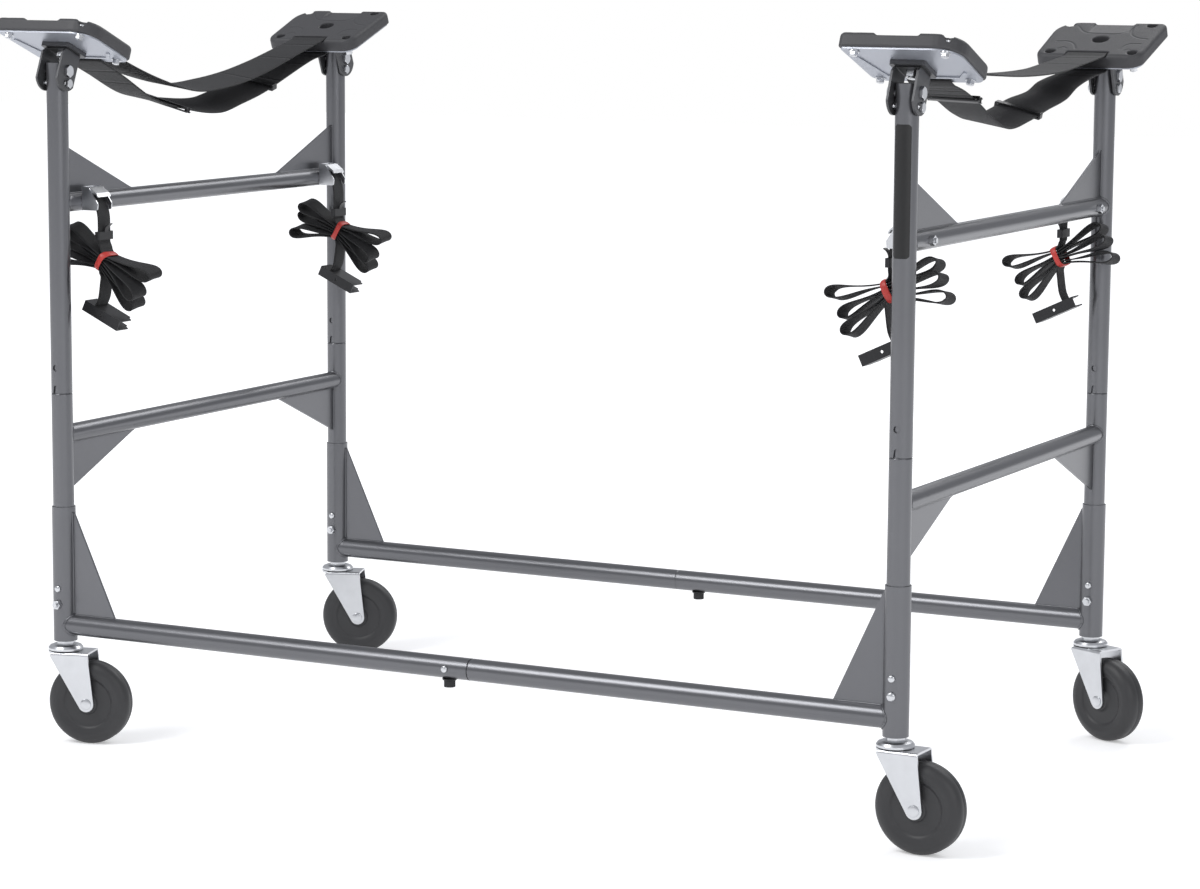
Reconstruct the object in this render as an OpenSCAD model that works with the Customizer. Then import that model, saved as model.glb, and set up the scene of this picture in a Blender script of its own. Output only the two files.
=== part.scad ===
// Kayak rack on casters: two H-shaped end frames stand in sockets that two low rails join.
// Each post carries a cushioned head that tilts and swivels, and a webbing sling spans each end.
// Millimetres. X runs along the rack, Y goes from front to rear, Z is up.
// The origin is on the floor, midway between the four posts.

/* [Frame] */
// Length between the left and right posts
span_x = 1085; // [900:5:1300]
// Depth between the front and rear posts
span_y = 630; // [580:5:760]
// Height of a post above the foot of its socket
post_h = 696.5; // [670:0.5:800]
// Height of the lower crossbar above the socket's foot
lower_bar_z = 251.5; // [240:0.5:270]
// Height of the joint between lower and upper post
joint_z = 302.2; // [285:0.1:340]
// Height of the upper crossbar above the socket's foot
upper_bar_z = 529.4; // [500:0.1:545]
// Height of the side rails above the socket's foot
rail_z = 19.8; // [18:0.1:26]
// Distance from the rack's middle to the joint in each rail
rail_joint_x = 21; // [0:1:80]

/* [Tubes] */
// Outside diameter of the posts and rails
tube_d = 25.4; // [24:0.1:27]
// Wall of the posts, rails and crossbars
tube_wall = 1.6; // [1.2:0.1:2]
// Outside diameter of the crossbars
bar_d = 22.2; // [20:0.1:23]
// Wall of the sockets
socket_wall = 1.3; // [1:0.1:2]
// Height of the sockets
socket_h = 164.3; // [150:0.1:190]
// Length of the neck that slides into the other half of a rail
rail_neck = 80; // [72:1:110]
// Length of the neck that slides up into the upper post
post_neck = 58; // [40:1:80]
// Play of a post in its socket, each side
socket_play = 0.3; // [0.2:0.05:0.5]
// Play of a neck in its tube, each side
neck_play = 0.2; // [0.15:0.05:0.4]
// Thickness of the gusset plates
gusset_t = 3; // [2:0.5:5]
// Reach of a rail gusset from the post's axis
rail_gusset_reach = 73; // [60:1:90]
// Height of a rail gusset above the socket's foot
rail_gusset_top = 158; // [120:1:160]
// Reach of a crossbar gusset from the post's axis
bar_gusset_reach = 148; // [100:1:160]
// Height of a crossbar gusset along the post
bar_gusset_h = 57; // [40:1:70]

/* [Frame fasteners] */
// Height of a socket's bolt above its foot
socket_bolt_z = 45.5; // [42:0.5:50]
// Height of a socket's snap button above its foot
button_z = 64.8; // [62:0.1:80]
// Distance of a rail's bolt and snap button from the joint
rail_fix = 28; // [24:1:34]
// Radius of the socket and buckle bolts
bolt_r = 3; // [2.5:0.5:3]
// Radius of the rail bolts
rail_bolt_r = 4; // [3:0.5:4]
// Radius of a snap button
button_r = 3.9; // [3:0.1:4.2]
// How far a snap button stands out of its tube
button_out = 2.7; // [2:0.1:3.5]

/* [Casters] */
// Radius of the wheels
wheel_r = 50.8; // [46:0.1:54]
// Width of the tread
wheel_w = 31; // [26:0.5:33]
// Distance from the socket's foot down to the axle
axle_drop = 74.7; // [72:0.1:85]
// Trail of the axle behind the stem
axle_trail = 31.1; // [28:0.1:36]
// Radius of the axle
axle_r = 4; // [3:0.5:5]
// Radius of the threaded stem
stem_r = 6; // [5:0.5:6]
// Outside width of the fork
fork_w = 40; // [38:0.5:44]
// Thickness of the fork's plate
fork_t = 2.5; // [2:0.25:3]

/* [Cushioned heads] */
// Tilt of the cushions at rest
pad_tilt = 22.5; // [0:0.5:30]
// Distance from a post's top down to the tilt bolt
pivot_drop = 10.1; // [9.5:0.1:12]
// Radius of the tilt bolt
pivot_r = 4; // [3.5:0.5:4]
// Distance from the tilt bolt to the lock bolt
lock_radius = 14.6; // [14:0.1:16]
// Width of the clevis along the tilt
clevis_w = 34; // [30:1:38]
// Thickness of the clevis and of the cushion plate's fork
clevis_t = 2.5; // [2:0.25:3]
// Height of the clevis above the tilt bolt
clevis_h = 27; // [26:0.5:30]
// Thickness of the cushion's plate
plate_t = 2; // [1.5:0.25:3]
// Thickness of the square seat between clevis and plate
seat_h = 3.8; // [3:0.1:5]
// Thickness of the cushion
pad_t = 16.5; // [14:0.5:22]
// Radius of the cushion's upper edge
pad_round = 5; // [3:0.5:6]
// Distance from the cushion's middle to the sling's slot
slot_v = 41; // [39:0.5:42]
// Radius of the cushion bolts
screw_r = 2.5; // [2:0.5:2.5]

/* [Slings] */
// Width of the sling webbing
sling_w = 50; // [40:1:50]
// Thickness of the sling webbing
sling_t = 1.8; // [1.2:0.1:2.2]

/* [Tie-downs] */
// Distance from a post to its tie-down buckle
tie_y = 46; // [44:1:70]
// Width of the tie-down webbing
tie_w = 25; // [20:1:26]
// Thickness of the tie-down webbing
tie_t = 1.6; // [1.2:0.1:1.7]
// Step between the webbing's passes at the tied waist
tie_step = 3; // [2.8:0.05:3.4]

/* [Hidden] */
$fn = 48;

// Sides are -1 left and 1 right, rows are -1 front and 1 rear
LEFT = -1;
RIGHT = 1;
FRONT = -1;
REAR = 1;
CORNERS = [[LEFT, FRONT], [RIGHT, FRONT], [LEFT, REAR], [RIGHT, REAR]];

tube_grey = [0.42, 0.43, 0.45];
dark_paint = [0.29, 0.30, 0.31];
zinc = [0.78, 0.79, 0.80];
plate_grey = [0.66, 0.68, 0.72];
dark_steel = [0.16, 0.16, 0.17];
rubber_grey = [0.21, 0.21, 0.22];
webbing_black = [0.09, 0.09, 0.10];
band_red = [0.70, 0.22, 0.20];

// Clearances that several pieces share
touch = 0.1;
swing = 0.3;
hole_play = 0.2;
pin_play = 0.05;

// Frame
foot_z = axle_drop + wheel_r;
tube_r = tube_d / 2;
tube_bore_r = tube_r - tube_wall;
neck_r = tube_bore_r - neck_play;
neck_bore_r = neck_r - tube_wall;
shoulder_r = tube_r - neck_r;
bar_r = bar_d / 2;
socket_bore_r = tube_r + socket_play;
socket_r = socket_bore_r + socket_wall;
plug_h = 12;
post_foot_z = 30;
insert_r = 6.2;
insert_h = 4.5;
locator_r = 3;
locator_z = joint_z + 6.7;
gauge_hole_r = 4;
gauge_hole_z = joint_z + 30.6;

// Snap buttons and the bent leaf springs behind them
button_flange_r = 4.6;
button_flange_t = 1;
spring_w = 6;
spring_t = 0.8;
spring_len = 34;

// Casters
hex_h = 5;
stem_len = 26;
cap_r = 21;
cap_foot = -11;
race_z = -8.5;
race_r = 15.5;
ball_r = 1.6;
ball_count = 12;
fork_top = -12;
king_r = 5;
fork_nose_r = 21;
fork_back = 34;
caster_heading = [[LEFT, FRONT, 16], [RIGHT, FRONT, -2], [LEFT, REAR, 20], [RIGHT, REAR, -24]];

// Cushioned heads, in the head's own axes: u along X, v inwards, w up from the tilt bolt
pivot_z = post_h - pivot_drop;
ear_in = tube_r + 0.5;
ear_out = ear_in + clevis_t;
web_low = clevis_h - clevis_t;
plate_low = clevis_h + hole_play + seat_h;
pad_low = plate_low + plate_t;
pad_top = pad_low + pad_t;
seat_half = 20;
seat_round = 3;
king_v = 4;
king_af = 13;
access_r = 9.8;
lock_span = 30;
slot_u = 4;
slot_w = 5;
slot_len = sling_w + 2;
bed_play = 0.5;
bed_gap = 0.5;
bed_deep = sling_t + bed_gap + swing;
pad_outline = [[-61, -41, 7], [38, -18, 30], [54, 38, 14], [-46, 34, 18]];
plate_inset = 3;
screw_places = [[-51, -38.5], [51, -38.5], [51, 40.5], [-51, 40.5]];
recess_r = 6;
recess_floor = pad_low + 8;
notch_deep = 4;
notch_fade_v = -15;
notch_u = [-30, -24, 22];

// Slings: shares of the way from the middle to the rim, with the drop below the rim there
left_upper_run = [[-1, 0], [-0.84, 17], [-0.54, 38], [-0.22, 52], [0.05, 49], [0.3, 41], [0.55, 28],
    [0.82, 11], [1, 0]];
left_lower_run = [[-1, 0], [-0.88, 12], [-0.6, 41], [-0.3, 53], [0, 58], [0.2, 49], [0.4, 39],
    [0.6, 25], [0.88, 5], [1, 0]];
right_upper_run = [[-1, 0], [-0.75, 6], [-0.4, 12], [0, 14.5], [0.4, 13], [0.65, 8], [1, 0]];
right_lower_run = [[-1, 0], [-0.87, 7], [-0.7, 20], [-0.5, 38], [-0.3, 48], [-0.05, 41], [0.2, 31],
    [0.45, 23], [0.6, 12], [0.85, 3], [1, 0]];
left_leans = [11, 20];
right_leans = [2, 14];
sling_steps = 24;
hook_bar_depth = 13;
left_hook_bar = 76;
right_hook_bar = 62;
left_slider_h = 10;
right_slider_h = 8;
hardware_play = 1;

// Tie-downs, in the tie-down's own axes: x towards the rack's middle from the crossbar's axis
// with the drops of its slider and of the bundle's waist, and the slope of the bundle's axis
tie_places = [[LEFT, FRONT, 40, 71, -32], [RIGHT, FRONT, 25, 56, -23], [LEFT, REAR, 46, 71, -26],
    [RIGHT, REAR, 31, 59, -28]];
buckle_w = 30;
buckle_t = 1.6;
lever_x = 19;
lever_z = 14;
lever_r = 4.5;
lever_pin_r = 1.5;
strap_x = 32;
waist_x = 35;
// Petals: direction from the bundle's axis, length, and shift of the tip over the webbing's width
inner_petals = [[10, 66, 8], [-6, 66, -7], [-22, 67, 10]];
outer_petals = [[173, 64, -10], [187, 69, 9], [199, 64, -10]];
petal_open = 8;
petal_turn = 14;
petal_steps = 16;
band_w = 7;
band_t = 1.2;
slider_h = 10;
hook_len = 55;
hook_lead = 14;
hook_h = 13;
hook_t = 1.5;
hook_slope = 25;

// Placing
module at_post(side, row) {
    translate([side * span_x / 2, row * span_y / 2, foot_z]) children();
}

module at_end(side) {
    translate([side * span_x / 2, 0, foot_z]) children();
}

module inward_x(side) {
    mirror([side > 0 ? 1 : 0, 0, 0]) children();
}

module at_head(side, row) {
    at_post(side, row) translate([0, 0, pivot_z]) rotate([0, 0, row > 0 ? 180 : 0])
        rotate([-pad_tilt, 0, 0]) children();
}

module at_tie(side, row) {
    at_post(side, row) translate([0, -row * tie_y, upper_bar_z]) inward_x(side) children();
}

module at_rail_fix(row) {
    translate([row * (rail_fix - rail_joint_x), row * span_y / 2, foot_z + rail_z]) children();
}

// Points of an arc from angle a to angle b
function arc(x, y, r, a, b, n) =
    [for (i = [0:n]) let (t = a + (b - a) * i / n) [x + r * cos(t), y + r * sin(t)]];

// The side on which a line from circle a to circle b, each [x, y, r], touches both
function touch_angle(a, b) = let (d = [b[0] - a[0], b[1] - a[1]])
    atan2(d[1], d[0]) - acos((a[2] - b[2]) / norm(d));

function next(c, i) = c[(i + 1) % len(c)];
function previous(c, i) = c[(i + len(c) - 1) % len(c)];
function shrink(c, by) = [for (p = c) [p[0], p[1], p[2] - by]];

// Belt around a ring of circles listed anticlockwise, as tangent lines between them
function belt(c) = [for (i = [0:len(c) - 1])
    let (a = c[i], b = next(c, i), t = touch_angle(a, b), out = [cos(t), sin(t)])
    each [[a[0], a[1]] + a[2] * out, [b[0], b[1]] + b[2] * out]];

module belted(c) {
    polygon(belt(c));
    for (p = c) translate([p[0], p[1]]) circle(r = p[2]);
}

// The same outline as evenly shared points, n steps to each corner
function belt_ring(c, n, z) = [for (i = [0:len(c) - 1])
    let (p = c[i], a = touch_angle(previous(c, i), p), b = touch_angle(p, next(c, i)),
        turn = (b - a + 720) % 360)
    for (k = [0:n]) let (t = a + turn * k / n) [p[0] + p[2] * cos(t), p[1] + p[2] * sin(t), z]];

// Solid between closed rings of equal length, stacked in order, with flat ends
module loft(rings) {
    n = len(rings[0]);
    last = (len(rings) - 1) * n;
    sides = [for (i = [0:len(rings) - 2]) for (k = [0:n - 1])
        let (m = (k + 1) % n, a = i * n + k, b = i * n + m)
        each [[a, a + n, b + n], [a, b + n, b]]];
    polyhedron(points = [for (r = rings) each r],
        faces = concat(sides, [[for (k = [0:n - 1]) k]], [[for (k = [n - 1:-1:0]) last + k]]));
}

// Webbing along a path. Each station is a point and the direction across the band there.
function unit(v) = v / norm(v);
function station_tangent(s, i, closed) = let (n = len(s),
    a = closed ? s[(i + n - 1) % n] : s[max(i - 1, 0)], b = closed ? s[(i + 1) % n] : s[min(i + 1, n - 1)])
    unit(b[0] - a[0]);

module webbing(stations, width, thick, closed = false) {
    section = [[width / 2, 0], [width / 2 - thick / 2, thick / 2], [thick / 2 - width / 2, thick / 2],
        [-width / 2, 0], [thick / 2 - width / 2, -thick / 2], [width / 2 - thick / 2, -thick / 2]];
    n = len(section);
    count = len(stations);
    points = [for (i = [0:count - 1])
        let (t = station_tangent(stations, i, closed), raw = stations[i][1],
            across = unit(raw - (raw * t) * t), normal = cross(t, across))
        for (p = section) stations[i][0] + p[0] * across + p[1] * normal];
    strips = [for (i = [0:count - (closed ? 1 : 2)]) for (k = [0:n - 1])
        let (m = (k + 1) % n, j = (i + 1) % count, a = i * n + k, b = i * n + m, c = j * n + k, d = j * n + m)
        each [[a, c, d], [a, d, b]]];
    ends = closed ? [] : [[for (k = [0:n - 1]) k], [for (k = [n - 1:-1:0]) (count - 1) * n + k]];
    polyhedron(points = points, faces = concat(strips, ends));
}

// Fasteners
module hexagon(af, h) {
    corner_r = af / 2 / cos(30);
    chamfer = (corner_r - af / 2) * tan(30);
    intersection() {
        cylinder(r = corner_r, h = h, $fn = 6);
        rotate_extrude() polygon([[0, 0], [corner_r, 0], [corner_r, h - chamfer], [af / 2, h], [0, h]]);
    }
}

module domed(r, h) {
    rotate_extrude() polygon(concat([[0, 0], [r, 0]],
        [for (t = [0:15:90]) [r * cos(t), h * (0.4 + 0.6 * sin(t))]]));
}

module nut(r, af, h) {
    difference() {
        hexagon(af, h);
        translate([0, 0, -1]) cylinder(r = r + touch, h = h + 2);
    }
}

// Bolt along Z through a thickness centred on the origin, its head at the top
module through_bolt(r, grip, af, head_h, nut_h, tip, round_head = false) {
    reach = grip / 2 + touch;
    translate([0, 0, -reach - nut_h - tip]) cylinder(r = r, h = 2 * reach + nut_h + tip + 0.5);
    translate([0, 0, reach]) {
        if (round_head) domed(af / 2, head_h);
        else hexagon(af, head_h);
    }
    translate([0, 0, -reach]) mirror([0, 0, 1]) nut(r, af, nut_h);
}

// Tubes
module necked_tube(length, neck) {
    rotate_extrude($fn = 96) polygon(concat([[0, 0], [tube_r, 0]],
        arc(tube_r - shoulder_r, length - shoulder_r, shoulder_r, 0, 90, 6),
        [[neck_r, length + neck - 1], [neck_r - 1, length + neck], [0, length + neck]]));
}

module necked_bore(start, length, neck) {
    translate([0, 0, start]) {
        cylinder(r = tube_bore_r, h = length - start - 2, $fn = 96);
        cylinder(r = neck_bore_r, h = length + neck + 1 - start, $fn = 96);
    }
}

// One socket with its welded gusset and half a rail
module corner(side, row) {
    holds = side * row > 0;
    rail_len = span_x / 2 + (holds ? rail_joint_x : -rail_joint_x);
    fix_x = rail_len + (holds ? -rail_fix : rail_fix);
    color(tube_grey) at_post(side, row) inward_x(side) difference() {
        union() {
            cylinder(r = socket_r, h = socket_h, $fn = 96);
            difference() {
                union() {
                    translate([0, 0, rail_z]) rotate([0, 90, 0]) {
                        if (holds) cylinder(r = tube_r, h = rail_len, $fn = 96);
                        else necked_tube(rail_len, rail_neck);
                    }
                    translate([0, gusset_t / 2, 0]) rotate([90, 0, 0]) linear_extrude(gusset_t)
                        polygon([[0, rail_z], [rail_gusset_reach, rail_z + tube_bore_r + 0.5],
                            [rail_gusset_reach, rail_z + tube_r], [socket_r + 1, rail_gusset_top],
                            [0, rail_gusset_top]]);
                }
                translate([0, 0, rail_z]) rotate([0, 90, 0]) {
                    if (holds) translate([0, 0, socket_r - touch])
                        cylinder(r = tube_bore_r, h = rail_len, $fn = 96);
                    else necked_bore(socket_r - touch, rail_len, rail_neck);
                }
            }
            if (!holds) translate([fix_x, 0, rail_z]) intersection() {
                translate([0, 0, -neck_r]) cylinder(r = insert_r, h = neck_r - neck_bore_r + insert_h);
                rotate([0, 90, 0])
                    cylinder(r = neck_bore_r + tube_wall / 2, h = 2 * insert_r + 2, center = true, $fn = 96);
            }
        }
        translate([0, 0, plug_h]) cylinder(r = socket_bore_r, h = socket_h, $fn = 96);
        translate([0, 0, -1]) cylinder(r = stem_r + touch, h = plug_h + 2);
        translate([0, 0, socket_bolt_z]) rotate([90, 0, 0])
            cylinder(r = bolt_r + hole_play, h = 2 * socket_r + 2, center = true);
        translate([0, 0, button_z]) rotate([90, 0, 0]) cylinder(r = button_r + hole_play, h = socket_r + 1);
        translate([fix_x, 0, rail_z - tube_r - 1])
            cylinder(r = rail_bolt_r + (holds ? hole_play : touch), h = tube_r);
        translate([fix_x, 0, rail_z]) rotate([row > 0 ? -90 : 90, 0, 0])
            cylinder(r = button_r + hole_play, h = tube_r + 1);
    }
}

// Crossbar gusset in the plane of the end frame, from the bar's axis outwards
module bar_gusset(row) {
    translate([-gusset_t / 2, 0, 0]) rotate([90, 0, 90]) linear_extrude(gusset_t)
        polygon([[0, 0], [-row * bar_gusset_reach, bar_r - tube_wall / 2], [-row * bar_gusset_reach, bar_r],
            [-row * tube_r, bar_r + bar_gusset_h], [0, bar_r + bar_gusset_h]]);
}

module crossbar_solid() {
    rotate([90, 0, 0]) cylinder(r = bar_r, h = span_y, center = true, $fn = 96);
}

module crossbar_bore() {
    rotate([90, 0, 0])
        cylinder(r = bar_r - tube_wall, h = span_y - 2 * tube_r + touch, center = true, $fn = 96);
}

// Lower part of an end frame: two posts, a crossbar and the gussets under it
module lower_h(side) {
    length = joint_z - post_foot_z;
    color(tube_grey) at_end(side) difference() {
        union() {
            for (row = [FRONT, REAR]) translate([0, row * span_y / 2, post_foot_z])
                necked_tube(length, post_neck);
            translate([0, 0, lower_bar_z]) difference() {
                union() {
                    crossbar_solid();
                    for (row = [FRONT, REAR]) translate([0, row * span_y / 2, 0]) mirror([0, 0, 1])
                        bar_gusset(row);
                }
                crossbar_bore();
            }
        }
        for (row = [FRONT, REAR]) translate([0, row * span_y / 2, 0]) {
            translate([0, 0, post_foot_z]) necked_bore(-1, length, post_neck);
            translate([0, 0, socket_bolt_z]) rotate([90, 0, 0])
                cylinder(r = bolt_r + hole_play, h = tube_d + 2, center = true);
            translate([0, 0, button_z]) rotate([90, 0, 0]) cylinder(r = button_r + hole_play, h = tube_r + 1);
        }
    }
}

// Upper part of an end frame, with the bolt holes for the heads and the tie-downs
module upper_h(side) {
    color(tube_grey) at_end(side) difference() {
        union() {
            for (row = [FRONT, REAR]) translate([0, row * span_y / 2, joint_z])
                cylinder(r = tube_r, h = post_h - joint_z, $fn = 96);
            translate([0, 0, upper_bar_z]) difference() {
                union() {
                    crossbar_solid();
                    for (row = [FRONT, REAR]) translate([0, row * span_y / 2, 0]) bar_gusset(row);
                }
                crossbar_bore();
            }
        }
        for (row = [FRONT, REAR]) translate([0, row * span_y / 2, 0]) {
            translate([0, 0, joint_z - 1]) cylinder(r = tube_bore_r, h = post_h - joint_z + 2, $fn = 96);
            translate([0, 0, gauge_hole_z]) rotate([90, 0, 0]) cylinder(r = gauge_hole_r, h = tube_r + 1);
            translate([0, 0, locator_z]) rotate([90, 0, 0]) cylinder(r = locator_r, h = tube_r + 1);
            translate([0, 0, joint_z]) rotate([90, 0, 0]) linear_extrude(tube_r + 1)
                polygon([[-locator_r, locator_z - joint_z], [-locator_r - 1, -1], [locator_r + 1, -1],
                    [locator_r, locator_z - joint_z]]);
            translate([0, 0, pivot_z]) rotate([0, 90, 0])
                cylinder(r = pivot_r + hole_play, h = tube_d + 2, center = true);
            translate([0, 0, pivot_z - lock_radius]) rotate([0, 90, 0])
                cylinder(r = bolt_r + hole_play, h = tube_d + 2, center = true);
            translate([0, -row * tie_y, upper_bar_z]) rotate([0, 90, 0])
                cylinder(r = bolt_r + hole_play, h = bar_d + 2, center = true);
        }
    }
}

// Bolts through the sockets and bolts that hold the tie-down buckles
module frame_bolts() {
    color(zinc) for (c = CORNERS) {
        faces_front = c == [RIGHT, FRONT];
        at_post(c[0], c[1]) translate([0, 0, socket_bolt_z]) rotate([faces_front ? 90 : -90, 0, 0])
            through_bolt(bolt_r, 2 * socket_r, 10, 4, 5, 3, round_head = faces_front);
        at_tie(c[0], c[1]) translate([buckle_t / 2 + touch / 2, 0, 0]) rotate([0, 90, 0])
            through_bolt(bolt_r, bar_d + buckle_t + touch, 10, 3.2, 5, 2, round_head = true);
    }
}

// Flanged bolts under the rails, each into the threaded insert of a neck
module rail_bolts() {
    shank = tube_r + touch - neck_bore_r + insert_h - hole_play;
    color(dark_steel) for (row = [FRONT, REAR])
        at_rail_fix(row) translate([0, 0, -tube_r - touch]) {
            cylinder(r = rail_bolt_r, h = shank);
            mirror([0, 0, 1]) {
                rotate_extrude() polygon([[0, 0], [8.5, 0], [8.5, 1.2], [6.8, 2.6], [0, 2.6]]);
                translate([0, 0, 2.4]) hexagon(13, 7.4);
            }
        }
}

// Tilt bolts and lock bolts through the post tops
module pad_head_bolts() {
    grip = 2 * (ear_out + swing - touch);
    color(zinc) for (c = CORNERS) at_post(c[0], c[1]) translate([0, 0, pivot_z]) rotate([0, 90, 0]) {
        through_bolt(pivot_r, grip, 13, 3.6, 5, 1);
        translate([lock_radius, 0, 0]) through_bolt(bolt_r, grip, 10, 3.2, 4, 1);
    }
}

// Height at which a flat of the given half width lies inside a bore, with its clearance
function inside(bore_r, half) = sqrt(bore_r * bore_r - half * half) - swing;

// Button along Z that stands out of a tube of the given radii
module snap_button(bore_r, out_r) {
    back = inside(bore_r, button_flange_r) - button_flange_t;
    tip = out_r + button_out;
    color(zinc) rotate_extrude() polygon(concat([[0, back], [button_flange_r, back],
        [button_flange_r, back + button_flange_t], [button_r, back + button_flange_t]],
        [for (t = [0:15:90]) [button_r * cos(t), tip - 1.6 + 1.6 * sin(t)]]));
}

module post_button(side, row) {
    at_post(side, row) translate([0, 0, button_z]) rotate([90, 0, 0]) snap_button(tube_bore_r, socket_r);
}

module at_rail_button(row) {
    at_rail_fix(row) rotate([row > 0 ? -90 : 90, 0, 0]) children();
}

module rail_button(row) {
    at_rail_button(row) snap_button(neck_bore_r, tube_r);
}

// Leaf bent into a V. One leg backs the button along Z and the other bears on the far wall.
module leaf_spring(bore_r) {
    front = inside(bore_r, button_flange_r) - button_flange_t - swing;
    back = -inside(bore_r, spring_w / 2);
    foot = -button_flange_r;
    translate([0, spring_w / 2, 0]) rotate([90, 0, 0]) linear_extrude(spring_w)
        polygon([[foot, front], [foot, front - spring_t], [spring_len - 2 * spring_t, 0],
            [foot, back + spring_t], [foot, back], [spring_len, -spring_t / 2], [spring_len, spring_t / 2]]);
}

module button_springs() {
    color(dark_steel) {
        for (c = CORNERS) at_post(c[0], c[1]) translate([0, 0, button_z])
            rotate([90, 0, 0]) rotate([0, 0, 90]) leaf_spring(tube_bore_r);
        for (row = [FRONT, REAR]) at_rail_button(row) rotate([0, 0, row > 0 ? 0 : 180])
            leaf_spring(neck_bore_r);
    }
}

// Clevis that carries a cushion: two slotted ears over the post, a flat top and a square seat on it
module pad_bracket(side, row) {
    bend = clevis_t + 1;
    color(dark_paint) at_head(side, row) difference() {
        union() {
            translate([0, king_v, clevis_h - clevis_t / 2]) linear_extrude(seat_h + clevis_t / 2)
                belted([for (p = [[-1, -1], [1, -1], [1, 1], [-1, 1]])
                    [p[0] * (seat_half - seat_round), p[1] * (seat_half - seat_round), seat_round]]);
            intersection() {
            rotate([90, 0, 0]) linear_extrude(clevis_w + 2, center = true) difference() {
                union() {
                    translate([-ear_out, -60]) square([2 * ear_out, 60 + clevis_h - bend]);
                    translate([bend - ear_out, 0]) square([2 * (ear_out - bend), clevis_h]);
                    for (s = [-1, 1]) translate([s * (ear_out - bend), clevis_h - bend]) circle(r = bend);
                }
                translate([-ear_in, -61]) square([2 * ear_in, 61 + web_low - 1]);
                translate([1 - ear_in, 0]) square([2 * (ear_in - 1), web_low]);
                for (s = [-1, 1]) translate([s * (ear_in - 1), web_low - 1]) circle(r = 1);
            }
            rotate([90, 0, 90]) linear_extrude(2 * ear_out + 2, center = true) intersection() {
                polygon([[-clevis_w / 2, -40], [clevis_w / 2, -40], [clevis_w / 2, clevis_h],
                    [8 - clevis_w / 2, clevis_h], [-clevis_w / 2, clevis_h - 8]]);
                union() {
                    translate([-30, -4]) square([60, 60]);
                    translate([0, -4]) circle(r = 20);
                }
            }
            }
        }
        rotate([0, 90, 0]) cylinder(r = pivot_r + pin_play, h = 2 * ear_out + 2, center = true);
        rotate([90, 0, 90]) linear_extrude(2 * ear_out + 2, center = true) lock_slot();
        translate([0, king_v, 0]) cylinder(r = pivot_r + pin_play, h = plate_low);
    }
}

// Arc slot around the tilt bolt, from straight down towards +v
module lock_slot() {
    r = bolt_r + hole_play;
    end = turned([0, -lock_radius], lock_span);
    polygon(concat(arc(0, 0, lock_radius + r, -90, lock_span - 90, 6),
        arc(end[0], end[1], r, lock_span - 70, lock_span + 70, 6),
        arc(0, 0, lock_radius - r, lock_span - 90, -90, 6), arc(0, -lock_radius, r, 110, 250, 6)));
}

module sling_slot(low, high) {
    translate([slot_u, slot_v, low]) {
        for (s = [-1, 1]) translate([s * (slot_len - slot_w) / 2, 0, 0])
            cylinder(r = slot_w / 2, h = high - low);
        translate([-(slot_len - slot_w) / 2, -slot_w / 2, 0])
            cube([slot_len - slot_w, slot_w, high - low]);
    }
}

// Pressed plate under a cushion, with its stiffening bead
module pad_plate(side, row) {
    bead = [[-54, -20, 2.2], [-40, 33, 2.2], [43, 34, 2.2], [52, 20, 2.2]];
    bead_h = 1.2;
    color(plate_grey) at_head(side, row) difference() {
        union() {
            translate([0, 0, plate_low]) linear_extrude(plate_t) belted(shrink(pad_outline, plate_inset));
            for (i = [0:len(bead) - 2]) translate([0, 0, plate_low - bead_h])
                linear_extrude(bead_h + plate_t / 2) belted([bead[i], bead[i + 1]]);
        }
        translate([0, king_v, 0]) cylinder(r = pivot_r + touch, h = pad_low + 1);
        for (p = screw_places) translate([p[0], p[1], 0]) cylinder(r = screw_r + hole_play, h = pad_low + 1);
        sling_slot(plate_low - 4, pad_low + 1);
    }
}

// Moulded cushion: rounded rim, bolt recesses, sling slot with a shallow bed for the webbing, and a
// notch in the outer edge
module pad(side, row) {
    color(rubber_grey) at_head(side, row) difference() {
        loft(concat([belt_ring(shrink(pad_outline, 1), 7, pad_low), belt_ring(pad_outline, 7, pad_low + 1)],
            [for (t = [0:22.5:90]) belt_ring(shrink(pad_outline, pad_round * (1 - cos(t))), 7,
                pad_top - pad_round * (1 - sin(t)))]));
        translate([0, king_v, pad_low - 1]) cylinder(r = access_r, h = pad_t + 2);
        for (p = screw_places) translate([p[0], p[1], 0]) {
            translate([0, 0, pad_low - 1]) cylinder(r = screw_r + hole_play, h = pad_t);
            translate([0, 0, recess_floor]) cylinder(r = recess_r, h = pad_t);
        }
        sling_slot(pad_low - 1, pad_top + 1);
        translate([slot_u - slot_len / 2 - bed_play, slot_v, pad_top - bed_deep])
            cube([slot_len + 2 * bed_play, 20, bed_deep + 1]);
        intersection() {
            rotate([90, 0, 90]) linear_extrude(200, center = true)
                polygon([[-70, pad_top - notch_deep], [-48, pad_top - notch_deep], [notch_fade_v, pad_top],
                    [notch_fade_v, pad_top + 5], [-70, pad_top + 5]]);
            rotate([90, 0, 0]) linear_extrude(200, center = true)
                polygon([[notch_u[0], pad_top + 5], [notch_u[0], pad_top],
                    [notch_u[1], pad_top - notch_deep - 1], [notch_u[2], pad_top - notch_deep - 1],
                    [notch_u[2], pad_top + 5]]);
        }
    }
}

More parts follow.
